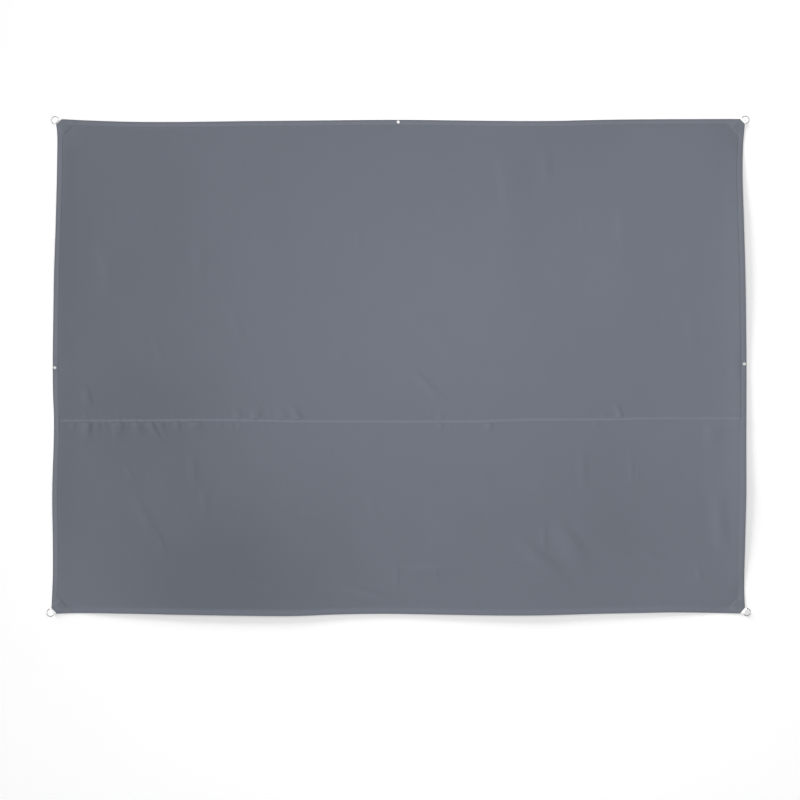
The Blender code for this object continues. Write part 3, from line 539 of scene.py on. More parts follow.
def settle(x, y):
    """Where points of the rectangle lie once the edges have bowed and the seam has drifted."""
    shifts = []
    for table, along, inside in edge_distances(x, y):
        share = hump(np.maximum(0.0, inside - HEM_ZONE) / BOW_REACH)
        shifts.append(share * smooth_value(table, along, "bow"))
    left, right, top, bottom = shifts
    drift = smooth_value(SEAM_LINE, x, "rise") * hump((y - SEAM_Y) / SEAM_REACH)
    return x - left + right, y + top - bottom + drift


def edge_lift(x, y):
    height = 0.0
    for table, along, inside in edge_distances(x, y):
        lift = np.maximum(0.0, smooth_value(table, along, "lift"))
        height = height + lift * np.clip(1 - np.maximum(inside, 0.0) / LIFT_REACH, 0, 1) ** 2
    return height


def fold_lift(fold, x, y):
    turn = math.radians(fold.heading)
    along = ((x - fold.x) * math.cos(turn) + (y - fold.y) * math.sin(turn)) / fold.half_length
    across = (y - fold.y) * math.cos(turn) - (x - fold.x) * math.sin(turn)
    across = across - fold.bend * np.clip(along, -1, 1) ** 2
    flank = np.where(across > 0, fold.half_width * fold.steep, fold.half_width)
    return fold.height * hump(along) * hump(across / flank)


def seam_distance(y):
    """How far a point lies past the seam's lap and ramp, on either side."""
    return np.maximum(0.0, np.abs(y - SEAM_Y) - LAP_HIGH - LAP_RAMP)


def pucker_lift(pucker, x, y):
    """A pucker starts beside the lap, which its stitches hold flat."""
    past = (y - SEAM_Y) * pucker.side - LAP_HIGH
    off = x - pucker.x - pucker.lean * (y - SEAM_Y)
    flank = np.where(off > 0, pucker.steep * pucker.half_width, pucker.half_width)
    return pucker.height * hump(off / flank) * smooth_step(past / PUCKER_START) * hump(past / pucker.reach)


def uneven_wave(along, pitch):
    """A wave from 0 to 1 whose pitch and strength wander, as sewing draws cloth up."""
    # Its numbers are free choices, which keep it from repeating.
    wander = 1.9 * np.sin(along / (4.1 * pitch)) + 1.1 * np.sin(along / (1.7 * pitch) + 2.0)
    strength = 0.65 + 0.35 * np.sin(along / (2.9 * pitch) + 0.7)
    return strength * (0.5 + 0.5 * np.sin(2 * np.pi * along / pitch + wander))


def seam_gather(x, y):
    """Small gathers along the seam, strongest at the left, below it."""
    lap = LAP_HIGH + LAP_RAMP
    upper = smooth_step((y - SEAM_Y + lap) / (2 * lap))
    below = smooth_value(SEAM_LINE, x, "below")
    above = smooth_value(SEAM_LINE, x, "above")
    reach = GATHER_REACH * (0.7 + 0.3 * np.sin(x / GATHER_DRIFT))
    lean = x + GATHER_LEAN * (y - SEAM_Y)
    wave = uneven_wave(lean, GATHER_PITCH)
    return (below + upper * (above - below)) * wave * hump(seam_distance(y) / reach)


def crest(x, y):
    """How far the cloth there stands over the cloth round it: below 0 in a hollow."""
    near = [relief(x + CREST_REACH * turn, y + CREST_REACH * rise) for turn, rise in CREST_WAYS]
    return relief(x, y) - sum(near) / len(near)


def hem_gather(x, y):
    """The low ridge and the small ripples that the hems' stitching draws up."""
    height = 0.0
    for number, (table, along, inside) in enumerate(edge_distances(x, y)):
        wave = uneven_wave(along + 0.37 * number, HEM_RIPPLE_PITCH)
        height = height + HEM_RIPPLE * wave * hump((inside - HEM_WIDTH) / HEM_RIPPLE_REACH)
        past = np.maximum(0.0, inside - HEM_WIDTH)
        height = height + HEM_RIDGE * smooth_step(inside / HEM_WIDTH) * hump(past / HEM_RIDGE_REACH)
    return height


def level_share(eyelet, x, y):
    """How far the hem is held level by an eyelet: 1 beside it, 0 well away from it."""
    if eyelet.name == "top":
        along, inside = x, HALF_WIDTH - y
    else:
        along, inside = y, HALF_LENGTH - x * math.copysign(1, eyelet.x)
    past = np.maximum(0.0, np.maximum(np.abs(along) - LEVEL_HALF, inside - HEM_ZONE))
    return hump(past / LEVEL_FADE)


def nearest_inside(x, y):
    """How far points lie inside the nearest edge."""
    return np.minimum(HALF_LENGTH - np.abs(x), HALF_WIDTH - np.abs(y))


def corner_calm(x, y):
    """0 under the corner patches, where the cloth is held flat, and 1 away from them."""
    deep = (HALF_LENGTH - np.abs(x) + HALF_WIDTH - np.abs(y)) / PATCH_LEG
    return smooth_step((deep - 1.1) / 0.9)


def main_relief(x, y):
    """The lifted edges, as on the solids, with the folds and the puckers at the seam."""
    cloth = bpy.context.scene.shade_sail_cloth
    height = edge_lift(x, y)
    for fold in FOLDS:
        height = height + cloth.folds * fold_lift(fold, x, y)
    for pucker in PUCKERS:
        height = height + cloth.folds * pucker_lift(pucker, x, y)
    return height


def relief(x, y):
    """How far the cloth's underside stands off the floor."""
    cloth = bpy.context.scene.shade_sail_cloth
    height = main_relief(x, y)
    fine = seam_gather(x, y) + hem_gather(x, y)
    for fold in CREASES + SWELLS:
        fine = fine + fold_lift(fold, x, y)
    fine = fine * cloth.creases * corner_calm(x, y)
    for eyelet in EYELETS:
        share = level_share(eyelet, x, y)
        held = main_relief(np.float64(eyelet.x), np.float64(eyelet.y))
        height = height + share * (held - height)
        fine = fine * (1 - share)
    return height + fine


def origin_shift():
    """The solids are centred on the origin, a little off the rectangle that they are drawn on."""
    low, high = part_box("eyelet_top")
    eyelet = EYELETS[0]
    x, y = settle(eyelet.x, eyelet.y)
    return np.array([(low[0] + high[0]) / 2 - x, (low[1] + high[1]) / 2 - y, 0.0])


SHIFT = origin_shift()


def laid(x, y, height):
    """Points of the rectangle at a height over the cloth's underside, as they lie in the frame."""
    lies_x, lies_y = settle(x, y)
    return np.stack([lies_x, lies_y, height + relief(x, y)], axis=-1) + SHIFT


# Making pieces


def deselect():
    for thing in bpy.context.selected_objects:
        thing.select_set(False)


def activate(piece):
    deselect()
    piece.select_set(True)
    bpy.context.view_layer.objects.active = piece


def finish_piece(piece, slot, material, *nodes):
    """Gives a piece its finish and body, and hides the solids that it stands for."""
    piece.data.materials.clear()
    piece.data.materials.append(material)
    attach(piece, "root")
    if nodes:
        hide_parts(*nodes)
    return piece


def new_object(name, data):
    piece = bpy.data.objects.new(name, data)
    bpy.context.scene.collection.objects.link(piece)
    return piece


def new_mesh_object(name, verts, faces, uvs=None):
    """A smooth mesh object; uvs, if given, hold a pair for each vertex."""
    mesh = bpy.data.meshes.new(name)
    mesh.from_pydata(verts.tolist(), [], faces)
    if uvs is not None:
        layer = mesh.uv_layers.new(name="weave")
        corners = np.empty(len(mesh.loops), dtype=np.int32)
        mesh.loops.foreach_get("vertex_index", corners)
        layer.data.foreach_set("uv", uvs[corners].ravel())
    mesh.shade_smooth()
    mesh.update()
    return new_object(name, mesh)


def closed_grid(name, high, low, uv):
    """A closed sheet from two grids of points, its top and its underside."""
    rows, columns = high.shape[:2]
    index = np.arange(rows * columns).reshape(rows, columns)
    under = index + rows * columns
    near, far = index[:-1, :-1], index[1:, :-1]
    near_next, far_next = index[:-1, 1:], index[1:, 1:]
    top = np.stack([near, near_next, far_next, far], axis=-1).reshape(-1, 4)
    bottom = top[:, ::-1] + rows * columns
    walls = []
    for line, flip in ((index[0], 1), (index[-1], -1), (index[:, 0], -1), (index[:, -1], 1)):
        below = line + rows * columns
        wall = np.stack([line[:-1], below[:-1], below[1:], line[1:]], axis=-1)
        walls.append(wall[:, ::flip])
    faces = np.concatenate([top, bottom] + walls)
    verts = np.concatenate([high.reshape(-1, 3), low.reshape(-1, 3)])
    pairs = np.concatenate([uv.reshape(-1, 2)] * 2)
    return new_mesh_object(name, verts, faces.tolist(), pairs)


def closed_trim(name, high, low, top, uv):
    """A closed sheet from any faces: its top's points, its underside's, and the top's faces."""
    edges = {(face[number - 1], face[number]) for face in top for number in range(len(face))}
    rim = [(start, stop) for start, stop in edges if (stop, start) not in edges]
    count = len(high)
    bottom = [[corner + count for corner in reversed(face)] for face in top]
    walls = [[start, start + count, stop + count, stop] for start, stop in sorted(rim)]
    piece = new_mesh_object(
        name, np.concatenate([high, low]), top + bottom + walls, np.concatenate([uv, uv])
    )
    solid = bmesh.new()
    solid.from_mesh(piece.data)
    bmesh.ops.recalc_face_normals(solid, faces=solid.faces)
    solid.to_mesh(piece.data)
    solid.free()
    return piece


def mark_crests_for_painted_shading(piece, x, y):
    """Keeps crests and hollows on the mesh, for the cloth's painted light on crests and painted shade in
    hollows; its top comes before its underside.
    """
    values = np.concatenate([crest(x, y).ravel()] * 2)
    marks = piece.data.attributes.new("crest", "FLOAT", "POINT")
    marks.data.foreach_set("value", values.astype(np.float32))


def cloth_sheet(name, x, y, layer):
    """A closed sheet over a grid of cut points; layer gives its underside and top at each."""
    under, over = layer(x, y)
    piece = closed_grid(name, laid(x, y, over), laid(x, y, under), np.stack([x, y], axis=-1))
    mark_crests_for_painted_shading(piece, x, y)
    return piece


def fold_round(inside, radius):
    """How thick a sheet is near a folded or cut edge: 0.1 on it, rounding up to 1 at its radius inside."""
    return 0.1 + 0.9 * np.sqrt(1 - (1 - np.clip(inside / radius, 0.0, 1.0)) ** 2)


def spaced(*knots):
    """Places through a row of (place, step) knots: each step holds up to the next place."""
    places = []
    for (start, step), (stop, _) in zip(knots, knots[1:]):
        count = max(1, round(abs(stop - start) / step))
        places.extend(np.linspace(start, stop, count, endpoint=False))
    return np.array(places + [knots[-1][0]])


# Panels


def panel_columns(side):
    """Places along X from side to side, closest where the seam is most puckered."""
    return spaced((-side, FINE_COLUMN), (FINE_UP_TO, COLUMN), (side, 0.0))


def upper_layer(x, y):
    """Its lower edge is folded under and lies on the lower panel; then it ramps down."""
    past = (y - SEAM_Y - LAP_HIGH - GAP) / (LAP_RAMP - GAP)
    in_lap = 1 - smooth_step(past)
    under = in_lap * (CLOTH + GAP)
    over = under + CLOTH + in_lap * (LAP_THICKNESS - CLOTH) - seam_groove(y)
    middle = (under + over) / 2
    share = fold_round(y - SEAM_Y - LAP_LOW, LAP_THICKNESS / 2)
    return middle + (under - middle) * share, middle + (over - middle) * share


def seam_groove(y):
    """The two rows of stitches pull the lap down a little."""
    groove = 0.0
    for place in SEAM_STITCHES:
        groove = groove + SEAM_GROOVE * hump((y - SEAM_Y - place) / GROOVE_REACH)
    return groove


def upper_panel(material):
    top = HALF_WIDTH - HEM_WIDTH + HEM_LIP - GAP
    low = SEAM_Y + LAP_LOW
    ramp = SEAM_Y + LAP_HIGH + LAP_RAMP
    rows = spaced(
        (low, 0.0002), (low + 0.0006, 0.0014), (ramp, 0.006), (ramp + 0.11, 0.012),
        (ramp + 0.35, 0.0185), (top - 0.12, 0.012), (top, 0.0),
    )
    x, y = np.meshgrid(panel_columns(PANEL_SIDE), rows)
    piece = cloth_sheet("upper_panel_cloth", x, y, upper_layer)
    finish_piece(piece, "cloth", material, "upper_panel")


def hem_end(corner, along_x, inside):
    """Where a line of a hem ends, along its edge: on the cut, and then on the mitre."""
    along, off = (corner.cut_x, corner.cut_y) if along_x else (corner.cut_y, corner.cut_x)
    return max(along * (1 - inside / off), inside + GAP / math.sqrt(2))


def corner_named(side, end):
    return next(corner for corner in CORNERS if (corner.side, corner.end) == (side, end))


def between_tips(left, right, middle):
    """A row of places that runs on from both ends of its middle ones."""
    left_tip = np.linspace(left, middle[0], HEM_TIPS)[:-1]
    right_tip = np.linspace(middle[-1], right, HEM_TIPS)[1:]
    return np.concatenate([left_tip, middle, right_tip])


def end_row(end, inside, middle):
    """A row of points along the top or bottom hem, from one corner's cut to the other's."""
    left = -HALF_LENGTH + hem_end(corner_named(-1, end), True, inside)
    right = HALF_LENGTH - hem_end(corner_named(1, end), True, inside)
    return between_tips(left, right, middle)


def row_grid(rows):
    """The points of rows of places, each row at one height."""
    places = np.stack([row for row, height in rows])
    heights = np.stack([np.full(len(row), height) for row, height in rows])
    return places, heights


def hem_puff(x, y):
    """How far the folded hem swells, away from the corners and eyelets that press it flat."""
    inside = nearest_inside(x, y)
    puff = HEM_PUFF * hump((inside - HEM_CREST) / HEM_CREST) * corner_calm(x, y)
    for eyelet in EYELETS:
        puff = puff * (1 - hump(np.hypot(x - eyelet.x, y - eyelet.y) / EYELET_PRESS))
    return puff


def hem_section(inside, puff, rise):
    """Underside and top across a hem: round at its fold, thinning to an edge that is sewn down."""
    half = HEM_THICKNESS / 2
    share = fold_round(inside, half)
    seat = CLOTH + GAP + rise
    lip = seat + HEM_EDGE
    groove = STITCH_GROOVE * hump((inside - HEM_STITCH) / GROOVE_REACH)
    full = half + (half + puff + rise) * share
    over = full + (lip - full) * smooth_step((inside - HEM_FLAT) / (HEM_STITCH - HEM_FLAT)) - groove
    over = seat + (over - seat) * fold_round(HEM_WIDTH - inside, HEM_CUT_ROUND)
    return half * (1 - share), over


def lower_layer(x, y):
    """The bottom hem is a fold of the panel itself."""
    inside = y + HALF_WIDTH
    under, over = hem_section(inside, hem_puff(x, y), 0.0)
    return np.where(inside > HEM_THICKNESS, 0.0, under), np.where(inside < HEM_WIDTH, over, CLOTH)


def lower_panel(material):
    bottom = -HALF_WIDTH
    lap_top = SEAM_Y + LAP_HIGH - GAP
    insides = HEM_ROWS + PANEL_LIP_ROWS + LIP_ROWS
    middle = panel_columns(HEM_INNER_X)
    hem = [(end_row(-1, inside, middle), bottom + inside) for inside in insides]
    low = SEAM_Y - LAP_HIGH - LAP_RAMP
    heights = spaced(
        (bottom + HEM_WIDTH + 4 * GAP, 0.004), (bottom + 0.045, 0.012), (low - 0.13, 0.006),
        (low, 0.0040), (lap_top, 0.0),
    )
    row = between_tips(-PANEL_SIDE, PANEL_SIDE, middle)
    x, y = row_grid(hem + [(row, height) for height in heights])
    piece = cloth_sheet("lower_panel_cloth", x, y, lower_layer)
    finish_piece(piece, "cloth", material, "lower_panel")


# Hems that are strips


def seam_rise(y):
    """How much thicker a side hem is where it is folded over the seam."""
    foot = LAP_HIGH + LAP_RAMP
    past = np.maximum(0.0, np.abs(y - SEAM_Y) - foot)
    return (LAP_THICKNESS + GAP) * (1 - smooth_step(past / foot))


def strip_layer(inside, puff, rise):
    """Underside and top of a hem strip, whose lip lies on the panel."""
    under, over = hem_section(inside, puff, rise)
    on_panel = inside > HEM_WIDTH - HEM_LIP - 2 * GAP
    return np.where(on_panel, CLOTH + GAP + rise, under), over


def strip_rows():
    panel_edge = HEM_WIDTH - HEM_LIP
    return HEM_ROWS + (panel_edge - 3 * GAP, panel_edge - GAP) + LIP_ROWS


def top_hem(material):
    middle = spaced((-HEM_INNER_X, HEM_COLUMN), (HEM_INNER_X, 0.0))
    rows = [(end_row(1, inside, middle), HALF_WIDTH - inside) for inside in strip_rows()[::-1]]
    x, y = row_grid(rows)
    piece = cloth_sheet(
        "top_hem_cloth", x, y, lambda x, y: strip_layer(HALF_WIDTH - y, hem_puff(x, y), 0.0)
    )
    finish_piece(piece, "hem", material, "top_hem")
    return piece


def side_hem(name, side, material):
    inner = HALF_WIDTH - 2 * HEM_WIDTH
    middle = spaced((-inner, HEM_COLUMN), (inner, 0.0))
    lines = []
    for inside in strip_rows():
        low = -HALF_WIDTH + hem_end(corner_named(side, -1), False, inside)
        high = HALF_WIDTH - hem_end(corner_named(side, 1), False, inside)
        lines.append((between_tips(low, high, middle), side * (HALF_LENGTH - inside)))
    y, x = (part.T for part in row_grid(lines[::-side]))

    def layer(x, y):
        return strip_layer(HALF_LENGTH - np.abs(x), hem_puff(x, y), seam_rise(y))

    piece = cloth_sheet(name + "_cloth", x, y, layer)
    finish_piece(piece, "hem", material, name)
    return piece


# Eyelets


def eyelet_middle(eyelet):
    low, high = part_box("eyelet_" + eyelet.name)
    return Vector(((low[0] + high[0]) / 2, (low[1] + high[1]) / 2, low[2]))


def eyelet_section():
    """The section of an eyelet and its washer, as (radius, height) points, rolled at the rims."""
    seat = HEM_THICKNESS + GAP
    barrel = EYELET_BORE + BARREL_WALL
    rim = (FLANGE_RADIUS - EYELET_BORE) / 2
    crown = []
    for step in range(EYELET_CROWN_STEPS + 1):
        angle = math.pi * step / EYELET_CROWN_STEPS
        radius = EYELET_BORE + rim - rim * math.cos(angle)
        crown.append((radius, seat + CROWN * math.sin(angle) ** 0.7))
    edge = EYELET_EDGE
    washer = [(FLANGE_RADIUS, WASHER), (FLANGE_RADIUS, edge), (FLANGE_RADIUS - edge, 0.0)]
    return crown + [(barrel, seat), (barrel, WASHER)] + washer + [(EYELET_BORE + 2 * edge, 0.0)]


def eyelet_piece(eyelet, material):
    """A section, spun about the eyelet's axis."""
    place = eyelet_middle(eyelet)
    section = eyelet_section()
    steps = bpy.context.scene.shade_sail_fittings.round_steps
    deselect()
    bpy.ops.mesh.primitive_circle_add(vertices=len(section), radius=0.001)
    piece = bpy.context.object
    piece.name = "eyelet_" + eyelet.name + "_metal"
    for vert, (radius, height) in zip(piece.data.vertices, section):
        vert.co = place + Vector((radius, 0, height))
    bpy.ops.object.mode_set(mode="EDIT")
    bpy.ops.mesh.select_all(action="SELECT")
    bpy.ops.mesh.spin(steps=steps, angle=math.tau, center=place, axis=(0, 0, 1))
    bpy.ops.mesh.select_all(action="SELECT")
    bpy.ops.mesh.remove_doubles(threshold=0.00001)
    bpy.ops.mesh.normals_make_consistent(inside=False)
    bpy.ops.object.mode_set(mode="OBJECT")
    bpy.ops.object.shade_smooth_by_angle(angle=math.radians(50))
    return finish_piece(piece, "eyelet", material, "eyelet_" + eyelet.name)


def pierce(hem, eyelet):
    """Cuts the eyelet's hole through its hem, and a seat for its washer."""
    place = eyelet_middle(eyelet)
    cuts = [(EYELET_BORE + BARREL_WALL + GAP, PIERCE_DEPTH), (FLANGE_RADIUS + GAP, 2 * (WASHER + GAP))]
    for radius, depth in cuts:
        deselect()
        bpy.ops.mesh.primitive_cylinder_add(vertices=48, radius=radius, depth=depth, location=place)
        tool = bpy.context.object
        activate(hem)
        hole = hem.modifiers.new("hole", "BOOLEAN")
        hole.operation = "DIFFERENCE"
        hole.solver = "EXACT"
        hole.object = tool
        bpy.ops.object.modifier_apply(modifier=hole.name)
        bpy.data.objects.remove(tool)


# Corners


def corner_point(corner, side_inside, end_inside):
    """Points by their distances inside the side edge and the end edge of a corner."""
    return (
        corner.side * (HALF_LENGTH - side_inside),
        corner.end * (HALF_WIDTH - end_inside),
    )


def corner_frame(corner):
    """Placed where the webbing crosses the cut edge: +X along its tail, +Z up."""
    on_end = Vector(settle(*corner_point(corner, corner.cut_x, 0.0)))
    on_side = Vector(settle(*corner_point(corner, 0.0, corner.cut_y)))
    sideways = (on_side - on_end).normalized()
    outward = Vector((sideways.y, -sideways.x))
    if outward.dot(Vector((corner.side, corner.end))) < 0:
        outward.negate()
    turn = math.radians(corner.turn)
    ring_way = outward * math.cos(turn) + sideways * math.sin(turn)
    middle = (on_end + on_side) / 2 + sideways * corner.slide
    heading = math.atan2(-ring_way.y, -ring_way.x)
    place = Vector((middle.x, middle.y, 0)) + Vector(SHIFT)
    return Matrix.Translation(place) @ Matrix.Rotation(heading, 4, "Z")


def tail_share(corner, x, y):
    """How much the webbing's tail lifts a patch: 1 over it, 0 well beside it. And how far along it."""
    lies_x, lies_y = settle(x, y)
    spots = np.stack([lies_x, lies_y, 0 * x, 0 * x], axis=-1) + np.append(SHIFT, 1.0)
    local = spots @ np.array(corner_frame(corner).inverted()).T
    along, beside = local[..., 0], np.abs(local[..., 1])
    side = smooth_step((beside - WEBBING_HALF_WIDTH - TAIL_EASE) / TAIL_FLANK)
    past = smooth_step((along - TAIL_LENGTH - TAIL_EASE) / TAIL_FLANK)
    return (1 - side) * (1 - past), along


def patch_support(corner, x, y):
    """What a patch lies on: the hems, the panel inside them, and the webbing's tail."""
    inside = nearest_inside(x, y)
    off_hem = smooth_step((inside - HEM_WIDTH - PATCH_HOLD + PATCH_FALL) / PATCH_FALL)
    support = HEM_THICKNESS + off_hem * (CLOTH - HEM_THICKNESS)
    share, along = tail_share(corner, x, y)
    off_step = smooth_step((along - TAIL_LEVEL) / TAIL_STEP)
    tail = HEM_THICKNESS + GAP + 2 * WEBBING_LAYER + off_step * (CLOTH - HEM_THICKNESS)
    return support + np.maximum(0.0, tail - support) * share


def patch_top(corner, x, y):
    """The height of a patch's top, dimpled by its stitches and thin along its sewn edges."""
    side_inside = HALF_LENGTH - np.abs(x)
    end_inside = HALF_WIDTH - np.abs(y)
    inner = PATCH_DEEPEST - (side_inside + end_inside) / math.sqrt(2)
    groove = STITCH_GROOVE * hump((inner - PATCH_LONG_STITCH) / PATCH_GROOVE_REACH)
    for edge in (side_inside, end_inside):
        groove = groove + STITCH_GROOVE * hump((edge - PATCH_STITCH) / PATCH_GROOVE_REACH)
    body = (CLOTH - groove) * (0.25 + 0.75 * smooth_step(inner / PATCH_FOLD))
    return patch_support(corner, x, y) + GAP + body


def patch(corner, material):
    """A three-cornered sheet over the hems and the webbing's tail, cut from a fine grid."""
    deeps = np.concatenate([
        np.arange(PATCH_GRID_START, PATCH_DEEPEST - 0.0015, PATCH_GRID_STEP),
        PATCH_DEEPEST - np.array([0.0010, 0.0007, 0.0004, 0.0002, 0.0]),
    ])
    acrosses = np.linspace(-PATCH_GRID_HALF, PATCH_GRID_HALF, PATCH_GRID_COLUMNS)
    work = bmesh.new()
    grid = [[work.verts.new((deep, across, 0)) for across in acrosses] for deep in deeps]
    for row, beyond in zip(grid, grid[1:]):
        for index in range(len(acrosses) - 1):
            work.faces.new((row[index], beyond[index], beyond[index + 1], row[index + 1]))
    more = corner.cut_x + corner.cut_y
    less = corner.cut_x - corner.cut_y
    edge_point = (PATCH_INSET * math.sqrt(2), 0, 0)
    trims = [
        (edge_point, (-1, -1, 0)),
        (edge_point, (-1, 1, 0)),
        ((more / math.sqrt(8) + PATCH_INSET, less / math.sqrt(8), 0), (-1, less / more, 0)),
    ]
    for point, outward in trims:
        bmesh.ops.bisect_plane(
            work,
            geom=work.verts[:] + work.edges[:] + work.faces[:],
            dist=1e-6,
            plane_co=point,
            plane_no=outward,
            clear_outer=True,
        )
    work.verts.index_update()
    deep, across = np.array([vert.co[:2] for vert in work.verts]).T
    top = [[vert.index for vert in face.verts] for face in work.faces]
    work.free()
    x, y = corner_point(corner, (deep + across) / math.sqrt(2), (deep - across) / math.sqrt(2))
    high = laid(x, y, patch_top(corner, x, y))
    low = laid(x, y, patch_support(corner, x, y) + GAP)
    piece = closed_trim("patch_" + corner.name + "_cloth", high, low, top, np.stack([x, y], axis=-1))
    mark_crests_for_painted_shading(piece, x, y)
    piece.data.set_sharp_from_angle(angle=math.radians(60))
    finish_piece(piece, "patch", material, "patch_" + corner.name)
    return piece


def tangent_angle(centre, radius, point, side):
    """The angle on a circle at which a line from the point touches it."""
    offset = Vector(point) - Vector(centre)
    return math.atan2(offset.y, offset.x) + side * math.acos(radius / offset.length)


def strap_path(corner):
    """The strap's middle line from the side: out over the cut, round the bar and back."""
    centre = (-corner.bar_out, BAR_HEIGHT)
    lean = WEBBING_HALF_WIDTH * math.tan(math.radians(corner.turn))
    radius = LOOP_BORE + WEBBING_LAYER / 2
    low = HEM_THICKNESS + GAP + WEBBING_LAYER / 2
    high = low + WEBBING_LAYER
    drop = HEM_THICKNESS - CLOTH
    lower = (-TAIL_LEAD - lean, low)
    upper = (PATCH_INSET - TAIL_LEAD - lean, high)
    first = tangent_angle(centre, radius, upper, 1)
    last = tangent_angle(centre, radius, lower, -1) + math.tau
    foot = TAIL_LEVEL + TAIL_STEP
    path = [(TAIL_LENGTH, high - drop), (foot, high - drop), (TAIL_LEVEL, high)]
    path += [(place, high) for place in np.linspace(TAIL_LEVEL, upper[0], TAIL_STEPS)[1:]]
    for index in range(LOOP_STEPS + 1):
        angle = first + (last - first) * index / LOOP_STEPS
        path.append((centre[0] + radius * math.cos(angle), centre[1] + radius * math.sin(angle)))
    path += [(place, low) for place in np.linspace(lower[0], TAIL_LEVEL, TAIL_STEPS)]
    path += [(foot, low - drop), (TAIL_LENGTH, low - drop)]
    return np.array(path)


def webbing(corner, material):
    path = strap_path(corner)
    ahead = np.gradient(path, axis=0)
    ahead /= np.linalg.norm(ahead, axis=1)[:, None]
    outward = np.stack([ahead[:, 1], -ahead[:, 0]], axis=-1)
    run = np.concatenate([[0.0], np.cumsum(np.linalg.norm(np.diff(path, axis=0), axis=1))])
    half = WEBBING_HALF_WIDTH
    edge = half - WEBBING_EDGE
    across = spaced((-half, 0.0002), (-edge, 0.0015), (edge, 0.0002), (half, 0.0))
    rounded = 0.3 + 0.7 * fold_round(half - np.abs(across), WEBBING_EDGE)
    thickness = (WEBBING_LAYER - WEBBING_AIR) / 2 * rounded
    frame_of_corner = np.array(corner_frame(corner))

    def face(side):
        offset = side * thickness[None, :, None] * outward[:, None, :]
        flat = path[:, None, :] + offset
        wide = np.broadcast_to(across[None, :], flat.shape[:2])
        local = np.stack([flat[..., 0], wide, flat[..., 1], np.ones_like(wide)], axis=-1)
        return (local @ frame_of_corner.T)[..., :3]

    uv = np.stack(np.broadcast_arrays(run[:, None], across[None, :]), axis=-1)
    piece = closed_grid("webbing_" + corner.name + "_strap", face(1), face(-1), uv)
    finish_piece(piece, "webbing", material, "webbing_" + corner.name)
    return piece


def ring_path(steps):
    """The D's middle line: a straight bar, rounded corners, two legs and a half-circle bow."""
    straight = RING_HALF_WIDTH - RING_CORNER
    bow_start = RING_DEPTH - RING_HALF_WIDTH
    path = [(0.0, 0.0)]
    for step in range(steps // 4 + 1):
        angle = math.pi / 2 * step / (steps // 4)
        bend = RING_CORNER * (1 - math.cos(angle))
        path.append((-bend, straight + RING_CORNER * math.sin(angle)))
    for step in range(steps // 2 + 1):
        angle = math.pi / 2 * step / (steps // 2)
        deep = bow_start + RING_HALF_WIDTH * math.sin(angle)
        path.append((-deep, RING_HALF_WIDTH * math.cos(angle)))
    return path + [(x, -y) for x, y in reversed(path[1:-1])]


def ring(corner, material):
    """Round wire, hanging in its loop by the bar, with its bow down on the floor."""
    steps = bpy.context.scene.shade_sail_fittings.round_steps
    wire = bpy.data.curves.new("ring_" + corner.name + "_wire", "CURVE")
    wire.dimensions = "3D"
    path = ring_path(steps)
    line = wire.splines.new("POLY")
    line.points.add(len(path) - 1)
    for point, (x, y) in zip(line.points, path):
        point.co = (x, y, 0, 1)
    line.use_cyclic_u = True
    wire.bevel_depth = WIRE_RADIUS
    wire.bevel_resolution = 4
    piece = new_object(wire.name, wire)
    droop = math.asin((BAR_HEIGHT - BOW_HEIGHT) / RING_DEPTH)
    in_loop = Matrix.Translation((-corner.bar_out, 0, BAR_HEIGHT))
    piece.matrix_world = corner_frame(corner) @ in_loop @ Matrix.Rotation(-droop, 4, "Y")
    activate(piece)
    bpy.ops.object.convert(target="MESH")
    bpy.ops.object.transform_apply(location=True, rotation=True, scale=True)
    piece = bpy.context.object
    piece.data.shade_smooth()
    return finish_piece(piece, "ring", material, "ring_" + corner.name)


# Sewing


def stitch_shape():
    """One stitch, a slim bead of thread along X, as its points and faces."""
    sewing = bpy.context.scene.shade_sail_sewing
    deselect()
    bpy.ops.mesh.primitive_uv_sphere_add(segments=6, ring_count=5, radius=0.5)
    bead = bpy.context.object
    size = np.array([sewing.thread, sewing.thread, sewing.length])
    points = np.array([vert.co for vert in bead.data.vertices]) * size
    points = points[:, [2, 1, 0]] * np.array([1, 1, -1])
    faces = [list(face.vertices) for face in bead.data.polygons]
    bpy.data.objects.remove(bead)
    return points, faces


def along_line(start, stop, pitch):
    """Even places along a straight line of the cut cloth."""
    run = math.hypot(stop[0] - start[0], stop[1] - start[1])
    share = (np.arange(int(run / pitch)) + 0.5) * pitch / run
    return start[0] + (stop[0] - start[0]) * share, start[1] + (stop[1] - start[1]) * share


def sew(name, runs, material, slot):
    """Stitches along straight runs of the cut cloth; each run has its ends and the cloth's top."""
    sewing = bpy.context.scene.shade_sail_sewing
    shape, shape_faces = stitch_shape()
    verts, faces = [], []
    count = 0
    for start, stop, top in runs:
        x, y = along_line(start, stop, sewing.pitch)
        run = np.array([stop[0] - start[0], stop[1] - start[1]])
        step = run / np.linalg.norm(run) * sewing.length / 2
        middle = laid(x, y, top(x, y))
        ahead = laid(x + step[0], y + step[1], top(x, y)) - laid(x - step[0], y - step[1], top(x, y))
        ahead /= np.linalg.norm(ahead, axis=1)[:, None]
        beside = np.cross([0.0, 0.0, 1.0], ahead)
        beside /= np.linalg.norm(beside, axis=1)[:, None]
        over = np.cross(ahead, beside)
        axes = np.stack([ahead, beside, over], axis=1)
        placed = np.einsum("vk,nkc->nvc", shape, axes) + middle[:, None, :]
        verts.append(placed.reshape(-1, 3))
        for index in range(len(x)):
            faces += [[corner + count for corner in face] for face in shape_faces]
            count += len(shape)
    return finish_piece(new_mesh_object(name, np.concatenate(verts), faces), slot, material)


def strip_top(x, y):
    inside = nearest_inside(x, y)
    on_side = HALF_LENGTH - np.abs(x) < HALF_WIDTH - np.abs(y)
    rise = np.where(on_side, seam_rise(y), 0.0)
    return strip_layer(inside, hem_puff(x, y), rise)[1]


